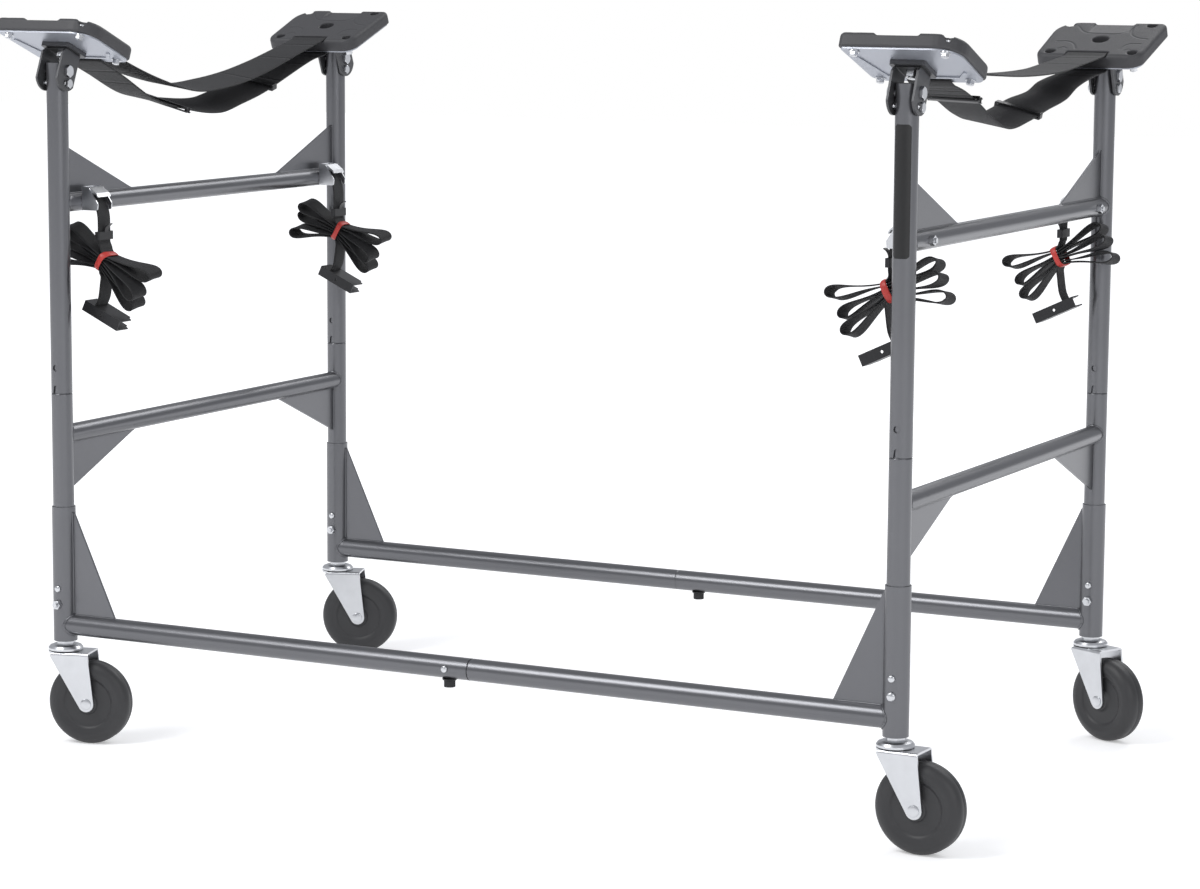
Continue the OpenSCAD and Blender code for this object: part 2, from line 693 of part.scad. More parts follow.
// Kingbolt with its nut, and the four cushion bolts with washers and nuts
module pad_fasteners(side, row) {
    king_nut = 6.2;
    color(zinc) at_head(side, row) {
        translate([0, king_v, pad_low + touch]) hexagon(king_af, 5);
        translate([0, king_v, web_low - king_nut - 1.2])
            cylinder(r = pivot_r, h = pad_low + touch + 1 - web_low + king_nut + 1.2);
        translate([0, king_v, web_low - hole_play]) mirror([0, 0, 1]) nut(pivot_r, king_af, king_nut);
        for (p = screw_places) translate([p[0], p[1], 0]) {
            translate([0, 0, recess_floor + touch]) domed(4.6, 3);
            translate([0, 0, plate_low - 6]) cylinder(r = screw_r, h = recess_floor + 1 - plate_low + 6);
            translate([0, 0, plate_low - touch - 1.2]) difference() {
                cylinder(r = 5.5, h = 1.2);
                translate([0, 0, -1]) cylinder(r = screw_r + touch, h = 4);
            }
            translate([0, 0, plate_low - 2 * touch - 1.2]) mirror([0, 0, 1]) nut(screw_r, 8, 4);
        }
    }
}

// Casters, with z downwards from the socket's foot
module at_fork(side, row) {
    heading = [for (h = caster_heading) if (h[0] == side && h[1] == row) h[2]][0];
    at_post(side, row) rotate([0, 0, heading]) children();
}

// Threaded stem, hexagon, domed ball cap and the rivet that carries the fork
module caster_stems() {
    rivet_low = fork_top - fork_t - swing;
    color(zinc) for (c = CORNERS) at_post(c[0], c[1]) {
        translate([0, 0, -1]) cylinder(r = stem_r, h = stem_len + 1);
        mirror([0, 0, 1]) hexagon(19, hex_h);
        rotate_extrude($fn = 72) polygon([[0, 0.5 - hex_h], [15, 0.5 - hex_h], [19, -6], [cap_r, -8.5],
            [cap_r, cap_foot], [cap_r - 1.4, cap_foot], [cap_r - 1.4, race_z], [king_r, race_z],
            [king_r, rivet_low], [8.5, rivet_low], [7.5, rivet_low - 2], [5, rivet_low - 2.6],
            [0, rivet_low - 2.6]]);
    }
}

module caster_balls() {
    color(zinc) for (c = CORNERS) at_post(c[0], c[1]) for (i = [0:ball_count - 1])
        rotate([0, 0, i * 360 / ball_count]) translate([race_r, 0, race_z - touch - ball_r])
            sphere(r = ball_r, $fn = 24);
}

// Pressed fork: a top plate with a round nose and two swept legs, folded from one strip
module caster_fork(side, row) {
    leg = [[-10.5, -16.5, 3], [axle_trail, -axle_drop, 9.5], [31, -15, 3]];
    bend = fork_t + 1.5;
    half = fork_w / 2;
    color(zinc) at_fork(side, row) difference() {
        intersection() {
            rotate([90, 0, 90]) linear_extrude(120, center = true) difference() {
                union() {
                    translate([-half, -100]) square([fork_w, 100 + fork_top - bend]);
                    translate([bend - half, -100]) square([fork_w - 2 * bend, 100 + fork_top]);
                    for (s = [-1, 1]) translate([s * (half - bend), fork_top - bend]) circle(r = bend);
                }
                translate([fork_t - half, -101]) square([fork_w - 2 * fork_t, 101 + fork_top - bend]);
                translate([bend - half, -101]) square([fork_w - 2 * bend, 101 + fork_top - fork_t]);
                for (s = [-1, 1]) translate([s * (half - bend), fork_top - bend]) circle(r = bend - fork_t);
            }
            union() {
                rotate([90, 0, 0]) linear_extrude(fork_w + 2, center = true) belted(leg);
                translate([0, 0, fork_top - bend]) linear_extrude(bend + 1) {
                    circle(r = fork_nose_r);
                    translate([0, -half - 1]) square([fork_back, fork_w + 2]);
                }
            }
        }
        translate([0, 0, fork_top - 10]) cylinder(r = king_r + pin_play, h = 20);
        translate([axle_trail, 0, -axle_drop]) rotate([90, 0, 0])
            cylinder(r = axle_r + touch, h = fork_w + 2, center = true);
    }
}

module caster_axle(side, row) {
    reach = fork_w / 2 + pin_play;
    color(zinc) at_fork(side, row) translate([axle_trail, 0, -axle_drop]) rotate([90, 0, 0]) {
        cylinder(r = axle_r, h = 2 * reach + 1, center = true);
        for (s = [0, 1]) mirror([0, 0, s]) translate([0, 0, reach]) domed(6.5, 2);
    }
}

// Solid wheel with a rounded tread and a shallow dish around its hub
module wheel(side, row) {
    half = wheel_w / 2;
    hub = fork_w / 2 - fork_t - 0.5;
    crown = 4.5;
    shoulder = wheel_r / 4;
    face = [[axle_r + pin_play, hub], [12, hub], [13.5, hub - 1], [15, half - 2.5],
        [0.56 * wheel_r, half - 3.5], [0.68 * wheel_r, half - 0.8]];
    tread = [for (t = [0:9:90]) [wheel_r - shoulder * (1 - sin(t)), crown + (half - crown) * cos(t)]];
    side_points = concat(face, tread);
    color(rubber_grey) at_fork(side, row) translate([axle_trail, 0, -axle_drop]) rotate([90, 0, 0])
        rotate_extrude($fn = 120) polygon(concat(side_points,
            [for (i = [len(side_points) - 1:-1:0]) [side_points[i][0], -side_points[i][1]]]));
}

// Slings: webbing through both slots of an end, with an upper and a lower run
function head_point(row, v, w) = [row * (span_y / 2 - v * cos(pad_tilt) - w * sin(pad_tilt)),
    foot_z + pivot_z - v * sin(pad_tilt) + w * cos(pad_tilt)];

rim_v = 52;
under_v = 54;
rim_w = pad_top - bed_deep + bed_gap + sling_t / 2;
under_w = plate_low - sling_t / 2 - 1;
rim = head_point(FRONT, rim_v, rim_w);
under = head_point(FRONT, under_v, under_w);

// Smooth drop along a run, through its chosen points, at the share t of the way
function run_slope(r, i) =
    let (a = r[max(i - 1, 0)], b = r[min(i + 1, len(r) - 1)]) (b[1] - a[1]) / (b[0] - a[0]);
function run_index(r, t) = max([for (i = [0:len(r) - 2]) if (i == 0 || r[i][0] <= t) i]);
function run_drop(r, t) =
    let (i = run_index(r, t), a = r[i], b = r[i + 1], w = b[0] - a[0], s = (t - a[0]) / w)
    a[1] * (1 + 2 * s) * (1 - s) * (1 - s) + run_slope(r, i) * w * s * (1 - s) * (1 - s)
    + b[1] * s * s * (3 - 2 * s) - run_slope(r, i + 1) * w * s * s * (1 - s);

// The band leans towards +X around mid-span by up to the given angle
function sling_lean(t, lean) = lean * pow(cos(90 * t), 2);
function sling_x(side, t) = side * span_x / 2 - slot_u * t;
function run_station(side, r, end, lean, t) = let (a = sling_lean(t, lean))
    [[sling_x(side, t), -end[0] * t, end[1] - run_drop(r, t)], [cos(a), 0, -sin(a)]];
function slot_station(side, row, v, w) = let (p = head_point(row, v, w))
    [[sling_x(side, row), p[0], p[1]], [1, 0, 0]];

function sling_path(side, upper, lower, upper_lean, lower_lean) = let (
    wrap = [[slot_v + 4.5, under_w], [slot_v + 1.6, under_w + 0.4], [slot_v, under_w + 2.4],
        [slot_v, rim_w - 2.9], [slot_v + 1, rim_w - 0.6], [slot_v + 3.2, rim_w]],
    share = [for (i = [0:sling_steps]) 2 * i / sling_steps - 1])
    concat([for (p = wrap) slot_station(side, FRONT, p[0], p[1])],
        [for (t = share) run_station(side, upper, rim, upper_lean, t)],
        [for (i = [len(wrap) - 1:-1:0]) slot_station(side, REAR, wrap[i][0], wrap[i][1])],
        [for (t = share) run_station(side, lower, under, lower_lean, -t)]);

module sling_left() {
    color(webbing_black)
        webbing(sling_path(LEFT, left_upper_run, left_lower_run, left_leans[0], left_leans[1]), sling_w,
            sling_t, closed = true);
}

module sling_right() {
    color(webbing_black)
        webbing(sling_path(RIGHT, right_upper_run, right_lower_run, right_leans[0], right_leans[1]), sling_w,
            sling_t, closed = true);
}

// Places children on a lower run at the share t: x along the band's width, y along the run
module on_run(side, t) {
    r = side == LEFT ? left_lower_run : right_lower_run;
    lean = side == LEFT ? left_leans[1] : right_leans[1];
    s = run_station(side, r, under, lean, t);
    rise = (run_drop(r, t - 0.02) - run_drop(r, t + 0.02)) / (0.04 * -under[0]);
    translate(s[0]) rotate([atan(rise), 0, 0]) rotate([0, sling_lean(t, lean), 0]) children();
}

// Folded channel that grips the webbing, with notched ends and a small hole
module folded_bar(length, depth) {
    gap = sling_t / 2 + hardware_play;
    out = gap + hook_t;
    difference() {
        union() {
            rotate([90, 0, 90]) linear_extrude(length, center = true) difference() {
                belted([[out - depth / 2, 0, out], [depth / 2 - out, 0, out]]);
                translate([-depth / 2 - 1, -gap]) square([depth + 2, 2 * gap]);
            }
            for (s = [-1, 1]) translate([s * (length / 2 - 2), 0, 0])
                cube([4, depth - 2 * out, 2 * gap + 1], center = true);
        }
        for (s = [-1, 1]) translate([s * length / 2, 0, 0]) cylinder(r = 2.4, h = 20, center = true);
    }
}

// Ladder buckle around a band: two bars between side cheeks
module band_slider(band, thick, height, play) {
    bar = 2;
    inner = band / 2 + play;
    gap = thick / 2 + play;
    difference() {
        rotate([90, 0, 0]) linear_extrude(height, center = true) belted([
            [-inner - bar + 1.5, -gap - bar + 1.5, 1.5], [inner + bar - 1.5, -gap - bar + 1.5, 1.5],
            [inner + bar - 1.5, gap + bar - 1.5, 1.5], [-inner - bar + 1.5, gap + bar - 1.5, 1.5]]);
        cube([2 * inner, height + 2, 2 * gap], center = true);
    }
}

// Hook bars and sliders on the lower runs
module sling_hardware() {
    color(dark_steel) {
        on_run(LEFT, -0.37) folded_bar(left_hook_bar, hook_bar_depth);
        on_run(LEFT, 0.48) band_slider(sling_w, sling_t, left_slider_h, hardware_play);
        on_run(RIGHT, -0.75) folded_bar(right_hook_bar, hook_bar_depth);
        on_run(RIGHT, 0.07) band_slider(sling_w, sling_t, right_slider_h, hardware_play);
    }
}

// Tie-down straps. A bundle lies along its axis a, with the webbing's width on y and the passes piled on n.
function turned(p, a) = [p[0] * cos(a) - p[1] * sin(a), p[0] * sin(a) + p[1] * cos(a)];
function tilted(p, slope) = let (q = turned([p[0], p[2]], slope)) [q[0], p[1], q[1]];

// Each pass through the waist has its own place across the bundle, from the top down
function waist_place(i) = [0, (3 - i) * tie_step];
waist_top = waist_place(0)[1];

// A station of the strap: a point [a, n] of the bundle, moved along the webbing's width. The width is turned
// about the bundle's axis.
function bundle_station(p, shift = 0, turn = 0) = let (wide = [0, cos(turn), sin(turn)])
    [[p[0], 0, p[1]] + shift * wide, wide];

// A petal leaves the waist at place i, opens and turns towards its tip, and returns at place i + 1
function petal(i, shape, hand) =
    let (a = waist_place(i), b = waist_place(i + 1), down = shape[0] < 90 ? 1 : -1)
    [for (k = [1:petal_steps - 1]) let (s = k / petal_steps, e = 180 * s)
        bundle_station(a * (1 - s) + b * s + turned([shape[1] * sin(e),
            down * petal_open * sin(2 * e) * pow(sin(e), 1.4)], shape[0]),
            hand * shape[2] * sin(e), hand * petal_turn * pow(sin(e), 1.5))];

function bundle(hand) = [for (i = [0:2]) each concat(
    [bundle_station(waist_place(2 * i))], petal(2 * i, inner_petals[i], hand),
    [bundle_station(waist_place(2 * i + 1))], petal(2 * i + 1, outer_petals[i], hand))];

function tie_lead(slider_drop) = [[20.2, 7.4], [24, 2], [27.5, -3], [30, -9], [31.4, -15], [strap_x, -22],
    [strap_x, -slider_drop], [strap_x, -slider_drop - 8]];

// Last turn into the waist and first turn out of it, along and across the bundle
waist_entry = [[-10, waist_top + 5.6], [-7, waist_top + 2.7], [-3.6, waist_top + 0.8]];
waist_exit = [[0, -waist_top], [3.5, -waist_top - 1.2], [5.8, -waist_top - 3.7]];
tail = [[0, -18], [-1, -26], [-2.2, -35], [-4, -44], [-8, -52.6], [-10.5, -58]];

function tie_stations(t) = let (waist = [waist_x, 0, -t[3]]) concat(
    [for (p = tie_lead(t[2])) bundle_station(p)],
    [for (s = concat([for (p = waist_entry) bundle_station(p)], bundle(-t[0]),
        [for (p = waist_exit) bundle_station(p)])) [waist + tilted(s[0], t[4]), tilted(s[1], t[4])]],
    [for (p = tail) [waist + [p[0], 0, p[1]], [0, 1, 0]]]);

module tie_straps() {
    color(webbing_black) for (t = tie_places) at_tie(t[0], t[1])
        webbing(tie_stations(t), tie_w, tie_t);
}

// Least distance from points of a pass, at its edges and middle, to the other passes, less the thickness
function pass_gap(p, a, b) = let (t = unit(b[0] - a[0]), w = unit(a[1] - (a[1] * t) * t), d = p - a[0])
    abs(d * w) > tie_w / 2 || d * t < 0 || d * t > norm(b[0] - a[0]) ? tie_w : abs(d * cross(t, w));
strap_line = tie_stations(tie_places[0]);
strap_gap = min([for (i = [0:len(strap_line) - 1]) for (j = [0:len(strap_line) - 2])
    if (abs(i - j) > 4 && abs(i - j - 1) > 4 && norm(strap_line[i][0] - strap_line[j][0]) < tie_w)
        for (v = [-0.5, 0, 0.5]) pass_gap(strap_line[i][0] + v * tie_w * strap_line[i][1], strap_line[j],
            strap_line[j + 1])]) - tie_t;
echo(strap_gap = strap_gap);

// Open frame that holds the cam lever: a back plate and two sloping cheeks
module buckle_frames() {
    back = bar_r + touch;
    color(zinc) for (c = CORNERS) at_tie(c[0], c[1]) difference() {
        union() {
            translate([back, -buckle_w / 2, -9.5]) cube([buckle_t, buckle_w, 28.5]);
            for (s = [-1, 1]) translate([0, s * (buckle_w - buckle_t) / 2 + buckle_t / 2, 0])
                rotate([90, 0, 0]) linear_extrude(buckle_t) belted([[back + 1.5, -8, 1.5], [31, -7, 2.5],
                    [32, -2, 2], [lever_x, lever_z, 4], [back + 2, 17, 2]]);
            translate([lever_x, 0, lever_z]) rotate([90, 0, 0])
                cylinder(r = lever_pin_r, h = buckle_w, center = true);
        }
        rotate([0, 90, 0]) cylinder(r = bolt_r + hole_play, h = 60, center = true);
    }
}

// Sprung thumb lever with a cam nose that bites the webbing
module cam_lever(side, row) {
    width = buckle_w - 2 * buckle_t - 0.8;
    color(zinc) at_tie(side, row) translate([lever_x, 0, lever_z]) rotate([90, 0, 0])
        linear_extrude(width, center = true) difference() {
            polygon(concat([[14.4, -7.4], [12, -3]], arc(0, 0, lever_r, 50, 250, 12),
                [[1.5, -5.4], [4.2, -1.6], [5.4, -0.6], [10.8, -4.2], [13.2, -8]]));
            circle(r = lever_pin_r + pin_play);
        }
}

// Slider above the bundle, with a tongue that curls away from the strap
module strap_sliders() {
    out = tie_t / 2 + 1.7;
    color(dark_steel) for (t = tie_places) at_tie(t[0], t[1]) translate([strap_x, 0, -t[2]]) {
        rotate([90, 0, 90]) band_slider(tie_w, tie_t, slider_h, 0.5);
        translate([out, 0, slider_h / 2 - 1]) rotate([90, 0, 0]) linear_extrude(8, center = true)
            polygon(concat(arc(12, 0, 12, 180, 115, 5), arc(12, 0, 10.8, 115, 180, 5)));
    }
}

module bundle_bands() {
    inner_n = waist_top + tie_t / 2 + 1.8;
    inner_y = tie_w / 2 + 1.4;
    color(band_red) for (t = tie_places) at_tie(t[0], t[1])
        translate([waist_x, 0, -t[3]]) rotate([0, -t[4], 0]) rotate([90, 0, 90])
            linear_extrude(band_w, center = true) difference() {
                square([2 * (inner_y + band_t), 2 * (inner_n + band_t)], center = true);
                square([2 * inner_y, 2 * inner_n], center = true);
            }
}

// Folded end hooks that hang from the tails
module strap_hooks() {
    depth = tie_w + 5;
    back = tie_w / 2 + 1.5 + hook_t;
    color(dark_steel) for (t = tie_places) at_tie(t[0], t[1])
        translate([waist_x + tail[4][0], 0, tail[4][1] - t[3]]) rotate([0, hook_slope, 0]) difference() {
            translate([-hook_lead, -back, -hook_h]) cube([hook_len, depth, hook_h]);
            translate([-hook_lead - 1, hook_t - back, hook_t - hook_h])
                cube([hook_len + 2, depth, hook_h - 2 * hook_t]);
            cube([2 * tie_t, tie_w + 1, 4 * hook_t], center = true);
            translate([hook_len / 2 - hook_lead, 0, -hook_h / 2]) rotate([90, 0, 0])
                cylinder(r = 1.75, h = 2 * depth, center = true);
            for (x = [-hook_lead, hook_len - hook_lead]) translate([x, depth - back, 0])
                cylinder(r = 6, h = 3 * hook_h, center = true);
        }
}

corner(LEFT, FRONT);  // corner_fl
corner(RIGHT, FRONT);  // corner_fr
corner(LEFT, REAR);  // corner_rl
corner(RIGHT, REAR);  // corner_rr
lower_h(LEFT);  // lower_h_left
lower_h(RIGHT);  // lower_h_right
upper_h(LEFT);  // upper_h_left
upper_h(RIGHT);  // upper_h_right
frame_bolts();
rail_bolts();
pad_head_bolts();
button_springs();
post_button(LEFT, FRONT);  // snap_button_fl
post_button(RIGHT, FRONT);  // snap_button_fr
post_button(LEFT, REAR);  // snap_button_rl
post_button(RIGHT, REAR);  // snap_button_rr
rail_button(FRONT);  // snap_button_front
rail_button(REAR);  // snap_button_rear
pad_bracket(LEFT, FRONT);  // pad_bracket_fl
pad_bracket(RIGHT, FRONT);  // pad_bracket_fr
pad_bracket(LEFT, REAR);  // pad_bracket_rl
pad_bracket(RIGHT, REAR);  // pad_bracket_rr
pad_plate(LEFT, FRONT);  // pad_plate_fl
pad_plate(RIGHT, FRONT);  // pad_plate_fr
pad_plate(LEFT, REAR);  // pad_plate_rl
pad_plate(RIGHT, REAR);  // pad_plate_rr
pad(LEFT, FRONT);  // pad_fl
pad(RIGHT, FRONT);  // pad_fr
pad(LEFT, REAR);  // pad_rl
pad(RIGHT, REAR);  // pad_rr
pad_fasteners(LEFT, FRONT);  // pad_fasteners_fl
pad_fasteners(RIGHT, FRONT);  // pad_fasteners_fr
pad_fasteners(LEFT, REAR);  // pad_fasteners_rl
pad_fasteners(RIGHT, REAR);  // pad_fasteners_rr
caster_stems();
caster_balls();
caster_fork(LEFT, FRONT);  // caster_fork_fl
caster_fork(RIGHT, FRONT);  // caster_fork_fr
caster_fork(LEFT, REAR);  // caster_fork_rl
caster_fork(RIGHT, REAR);  // caster_fork_rr
caster_axle(LEFT, FRONT);  // caster_axle_fl
caster_axle(RIGHT, FRONT);  // caster_axle_fr
caster_axle(LEFT, REAR);  // caster_axle_rl
caster_axle(RIGHT, REAR);  // caster_axle_rr
wheel(LEFT, FRONT);  // wheel_fl
wheel(RIGHT, FRONT);  // wheel_fr
wheel(LEFT, REAR);  // wheel_rl
wheel(RIGHT, REAR);  // wheel_rr
sling_left();
sling_right();
sling_hardware();
tie_straps();
buckle_frames();
cam_lever(LEFT, FRONT);  // cam_lever_fl
cam_lever(RIGHT, FRONT);  // cam_lever_fr
cam_lever(LEFT, REAR);  // cam_lever_rl
cam_lever(RIGHT, REAR);  // cam_lever_rr
strap_sliders();
bundle_bands();
strap_hooks();
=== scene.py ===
import math

import bpy
import numpy as np
from mathutils import Matrix, Vector


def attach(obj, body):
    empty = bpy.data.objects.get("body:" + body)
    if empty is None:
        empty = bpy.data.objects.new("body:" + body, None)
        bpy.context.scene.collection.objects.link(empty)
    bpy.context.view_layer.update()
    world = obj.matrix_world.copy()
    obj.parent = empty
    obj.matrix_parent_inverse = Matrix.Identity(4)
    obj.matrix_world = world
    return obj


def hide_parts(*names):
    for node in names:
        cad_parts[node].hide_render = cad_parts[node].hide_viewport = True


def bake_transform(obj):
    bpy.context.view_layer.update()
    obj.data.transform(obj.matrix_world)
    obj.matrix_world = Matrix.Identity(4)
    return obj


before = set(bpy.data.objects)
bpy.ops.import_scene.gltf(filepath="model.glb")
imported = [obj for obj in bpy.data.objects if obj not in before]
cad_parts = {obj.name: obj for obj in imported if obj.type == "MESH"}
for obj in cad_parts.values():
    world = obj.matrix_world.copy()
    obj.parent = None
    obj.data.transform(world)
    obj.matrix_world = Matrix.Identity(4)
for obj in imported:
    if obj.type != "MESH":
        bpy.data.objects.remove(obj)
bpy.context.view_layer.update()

millimetre = 0.001

# The four corners: side -1 left and 1 right, row -1 front and 1 rear
corners = {"fl": (-1, -1), "fr": (1, -1), "rl": (-1, 1), "rr": (1, 1)}

# Sizes are in mm and degrees, and turn into metres where a mesh is made
rack = {
    "halfLength": 542.5,        # from the rack's middle to a post's axis
    "halfDepth": 315.0,
    "footHeight": 125.5,        # underside of the sockets
    "postHeight": 696.5,        # this and the next three from the underside of the sockets
    "upperBar": 529.4,
    "lowerBar": 251.5,
    "railHeight": 19.8,
    "pivotDrop": 10.1,          # from a post's top down to its head's pivot
    "padTilt": 22.5,
    "tubeRadius": 12.7,
    "barRadius": 11.1,
    "socketRadius": 14.3,
}
padTilt = math.radians(rack["padTilt"])
pivotHeight = rack["footHeight"] + rack["postHeight"] - rack["pivotDrop"]


print("camera")
lens = {
    "place": (1.917425, -3.696615, 0.955548),       # metres
    "yaw": 27.137,              # degrees, turned left from +Y
    "pitch": -8.085,
    "roll": 0.36,
    "focal": 104.0,
    "sensor": 36.0,
    "clip": (0.1, 60.0),        # metres
}


def makeCamera():
    yaw, pitch, roll = (math.radians(lens[k]) for k in ("yaw", "pitch", "roll"))
    ahead = Vector((-math.sin(yaw) * math.cos(pitch), math.cos(yaw) * math.cos(pitch), math.sin(pitch)))
    level = Vector((math.cos(yaw), math.sin(yaw), 0))
    rise = level.cross(ahead)
    right = level * math.cos(roll) + rise * math.sin(roll)
    up = rise * math.cos(roll) - level * math.sin(roll)
    data = bpy.data.cameras.new("camera")
    data.lens, data.sensor_width = lens["focal"], lens["sensor"]
    data.clip_start, data.clip_end = lens["clip"]
    camera = bpy.data.objects.new("camera", data)
    bpy.context.scene.collection.objects.link(camera)
    turn = Matrix((right, up, -ahead)).transposed().to_4x4()
    camera.matrix_world = Matrix.Translation(lens["place"]) @ turn
    bpy.context.scene.camera = camera


makeCamera()


# Mesh making: every surface is worked out as whole arrays, with its points and uv in mm
def newPiece(name, points, faces, uv=None, smooth=True, angle=None):
    mesh = bpy.data.meshes.new(name)
    points = np.asarray(points, float).reshape(-1, 3) * millimetre
    mesh.from_pydata(points, [], [list(face) for face in faces])
    if uv is not None:
        layer = mesh.uv_layers.new(name="uv")
        index = np.zeros(len(mesh.loops), np.int32)
        mesh.loops.foreach_get("vertex_index", index)
        layer.data.foreach_set("uv", np.float32(uv.reshape(-1, 2)[index] * millimetre).ravel())
    mesh.polygons.foreach_set("use_smooth", np.full(len(mesh.polygons), smooth))
    mesh.validate()
    piece = bpy.data.objects.new(name, mesh)
    bpy.context.scene.collection.objects.link(piece)
    if angle is not None:
        mesh.set_sharp_from_angle(angle=math.radians(angle))
    return piece


# Quads of a grid of rows by columns, wrapped where a direction is closed
def gridFaces(rows, columns, wrapRows=False, wrapColumns=True, start=0):
    i = np.arange(rows if wrapRows else rows - 1)
    j = np.arange(columns if wrapColumns else columns - 1)
    i, j = np.meshgrid(i, j, indexing="ij")
    i2, j2 = (i + 1) % rows, (j + 1) % columns
    quads = np.stack([i * columns + j, i2 * columns + j, i2 * columns + j2, i * columns + j2], -1)
    return quads.reshape(-1, 4) + start


# Faces of a tube of rings, each listed counterclockwise as seen from further along: its wall, and a cap
# at either end unless the last ring joins the first
def tubeFaces(rows, columns, closed=False):
    faces = gridFaces(rows, columns, closed)[:, ::-1].tolist()
    if not closed:
        last = (rows - 1) * columns
        faces += [list(range(columns))[::-1], list(range(last, last + columns))]
    return faces


def unit(v):
    return v / np.linalg.norm(v, axis=-1, keepdims=True)


# Direction along a path at each of its points
def pathTangents(points, closed=False):
    if closed:
        return unit(np.roll(points, -1, 0) - np.roll(points, 1, 0))
    return unit(np.gradient(points, axis=0))


# Distance along a path to each of its points
def pathLengths(points):
    return np.concatenate([[0], np.cumsum(np.linalg.norm(np.diff(points, axis=0), axis=1))])


# Smooth curve through points: a Catmull-Rom spline with some steps to each span
def smoothPath(points, steps):
    p = np.asarray(points, float)
    a = np.vstack([2 * p[0] - p[1], p, 2 * p[-1] - p[-2]])
    t = (np.arange(steps) / steps)[None, :, None]
    p0, p1, p2, p3 = (a[k:k + len(p) - 1, None, :] for k in range(4))
    curve = 0.5 * (2 * p1 + (p2 - p0) * t + (2 * p0 - 5 * p1 + 4 * p2 - p3) * t ** 2
                   + (3 * p1 - p0 - 3 * p2 + p3) * t ** 3)
    return np.vstack([curve.reshape(-1, p.shape[1]), p[-1:]])


# Section of a woven band: flat faces with round edges, listed once around as (across, out) shares
def bandSection(width, thick, edgeSteps=4, flatSteps=8):
    half, r = width / 2 - thick / 2, thick / 2
    turn = np.linspace(-90, 90, edgeSteps + 1) * math.pi / 180
    edge = np.stack([half + r * np.cos(turn), r * np.sin(turn)], 1)
    top = np.stack([np.linspace(half, -half, flatSteps + 1)[1:-1], np.full(flatSteps - 1, r)], 1)
    return np.vstack([edge, top, -edge, -top])


# Rings of a band along a path: the section's shares `wide` and `out`, each of rows or one row by columns,
# are laid square to the path, with the width along `across`
def bandRings(path, across, wide, out, closed=False):
    tangent = pathTangents(path, closed)
    side = unit(across - (across * tangent).sum(1, keepdims=True) * tangent)
    normal = np.cross(tangent, side)
    return path[:, None] + wide[..., None] * side[:, None] + out[..., None] * normal[:, None]


# A band's uv: the distances along it and across it, for each ring's points
def bandUv(along, wide):
    return np.stack(np.broadcast_arrays(along[:, None], wide), -1)


# Several surfaces as one mesh
def joined(parts):
    points, faces, start = [], [], 0
    for p, f in parts:
        points.append(p)
        faces += [[k + start for k in face] for face in f]
        start += len(p)
    return np.vstack(points), faces


print("tie-down straps")
tie = {
    "width": 25.0,
    "thick": 1.6,
    "fromPost": 46.0,           # from the post's axis to the tie-down's, along the crossbar
    "step": 3.0,                # between the passes at the waist
    "strapX": 32.0,             # of the straight lead
    "waistX": 35.0,
    "lead": ((20.2, 7.4), (24, 2), (27.5, -3), (30, -9), (31.4, -15)),
    "leadStart": 22.0,          # drop at which the lead hangs straight
    "pastSlider": 8.0,
    "entry": ((-10, 5.6), (-7, 2.7), (-3.6, 0.8)),              # along the bundle, above its top pass
    "leave": ((0, 0), (3.5, -1.2), (5.8, -3.7)),                # along the bundle, from its lowest pass
    "tail": ((0, -18), (-1, -26), (-2.2, -35), (-4, -44), (-8, -52.6), (-10.5, -58)),
    "inner": ((10, 64, 8), (-6, 64, -7), (-22, 65, 10)),        # aim, length, shift of the tip
    "outer": ((173, 62, -10), (187, 67, 9), (199, 62, -10)),
    "open": 8.5,
    "openPower": 1.4,
    "turn": 14.0,               # degrees that a petal turns about the bundle's axis
    "turnPower": 1.5,
    "petalSteps": 36,
    "curveSteps": 4,
    # drops of the slider and the waist below the crossbar, and slope of the bundle
    "places": {"fl": (40, 71, -32), "fr": (25, 56, -23), "rl": (46, 71, -26), "rr": (31, 59, -28)},
}


def turned(p, degrees):
    a = math.radians(degrees)
    return np.asarray(p, float) @ np.array([[math.cos(a), math.sin(a)], [-math.sin(a), math.cos(a)]])


# Points (x, z) in the strap's plane as (x, y, z)
def inSpace(p):
    p = np.atleast_2d(np.asarray(p, float))
    return np.stack([p[:, 0], np.zeros(len(p)), p[:, 1]], 1)


# Place of pass i at the waist: six passes, from the top down
def waistPlace(i):
    return inSpace([0, (3 - i) * tie["step"]])


# A petal leaves the waist at place i, opens towards its tip and returns at place i + 1:
# a straight slide from one place to the other, plus length * sin(e) along its aim and
# open * sin(2e) * sin(e)^openPower square to it, with e from 0 to a half turn. The band's width
# turns about the bundle's axis by turn * sin(e)^turnPower, and the petal shifts by
# shift * sin(e) along its own width.
def petal(i, aim, length, shift, hand):
    s = (np.arange(1, tie["petalSteps"]) / tie["petalSteps"])[:, None]
    e = math.pi * s
    ahead, square = inSpace(turned([1, 0], aim)), inSpace(turned([0, 1 if aim < 90 else -1], aim))
    turn = hand * np.radians(tie["turn"]) * np.sin(e) ** tie["turnPower"]
    wide = np.concatenate([0 * e, np.cos(turn), np.sin(turn)], 1)
    bulge = tie["open"] * np.sin(2 * e) * np.sin(e) ** tie["openPower"]
    slide = waistPlace(i) * (1 - s) + waistPlace(i + 1) * s
    return slide + length * np.sin(e) * ahead + bulge * square + hand * shift * np.sin(e) * wide, wide


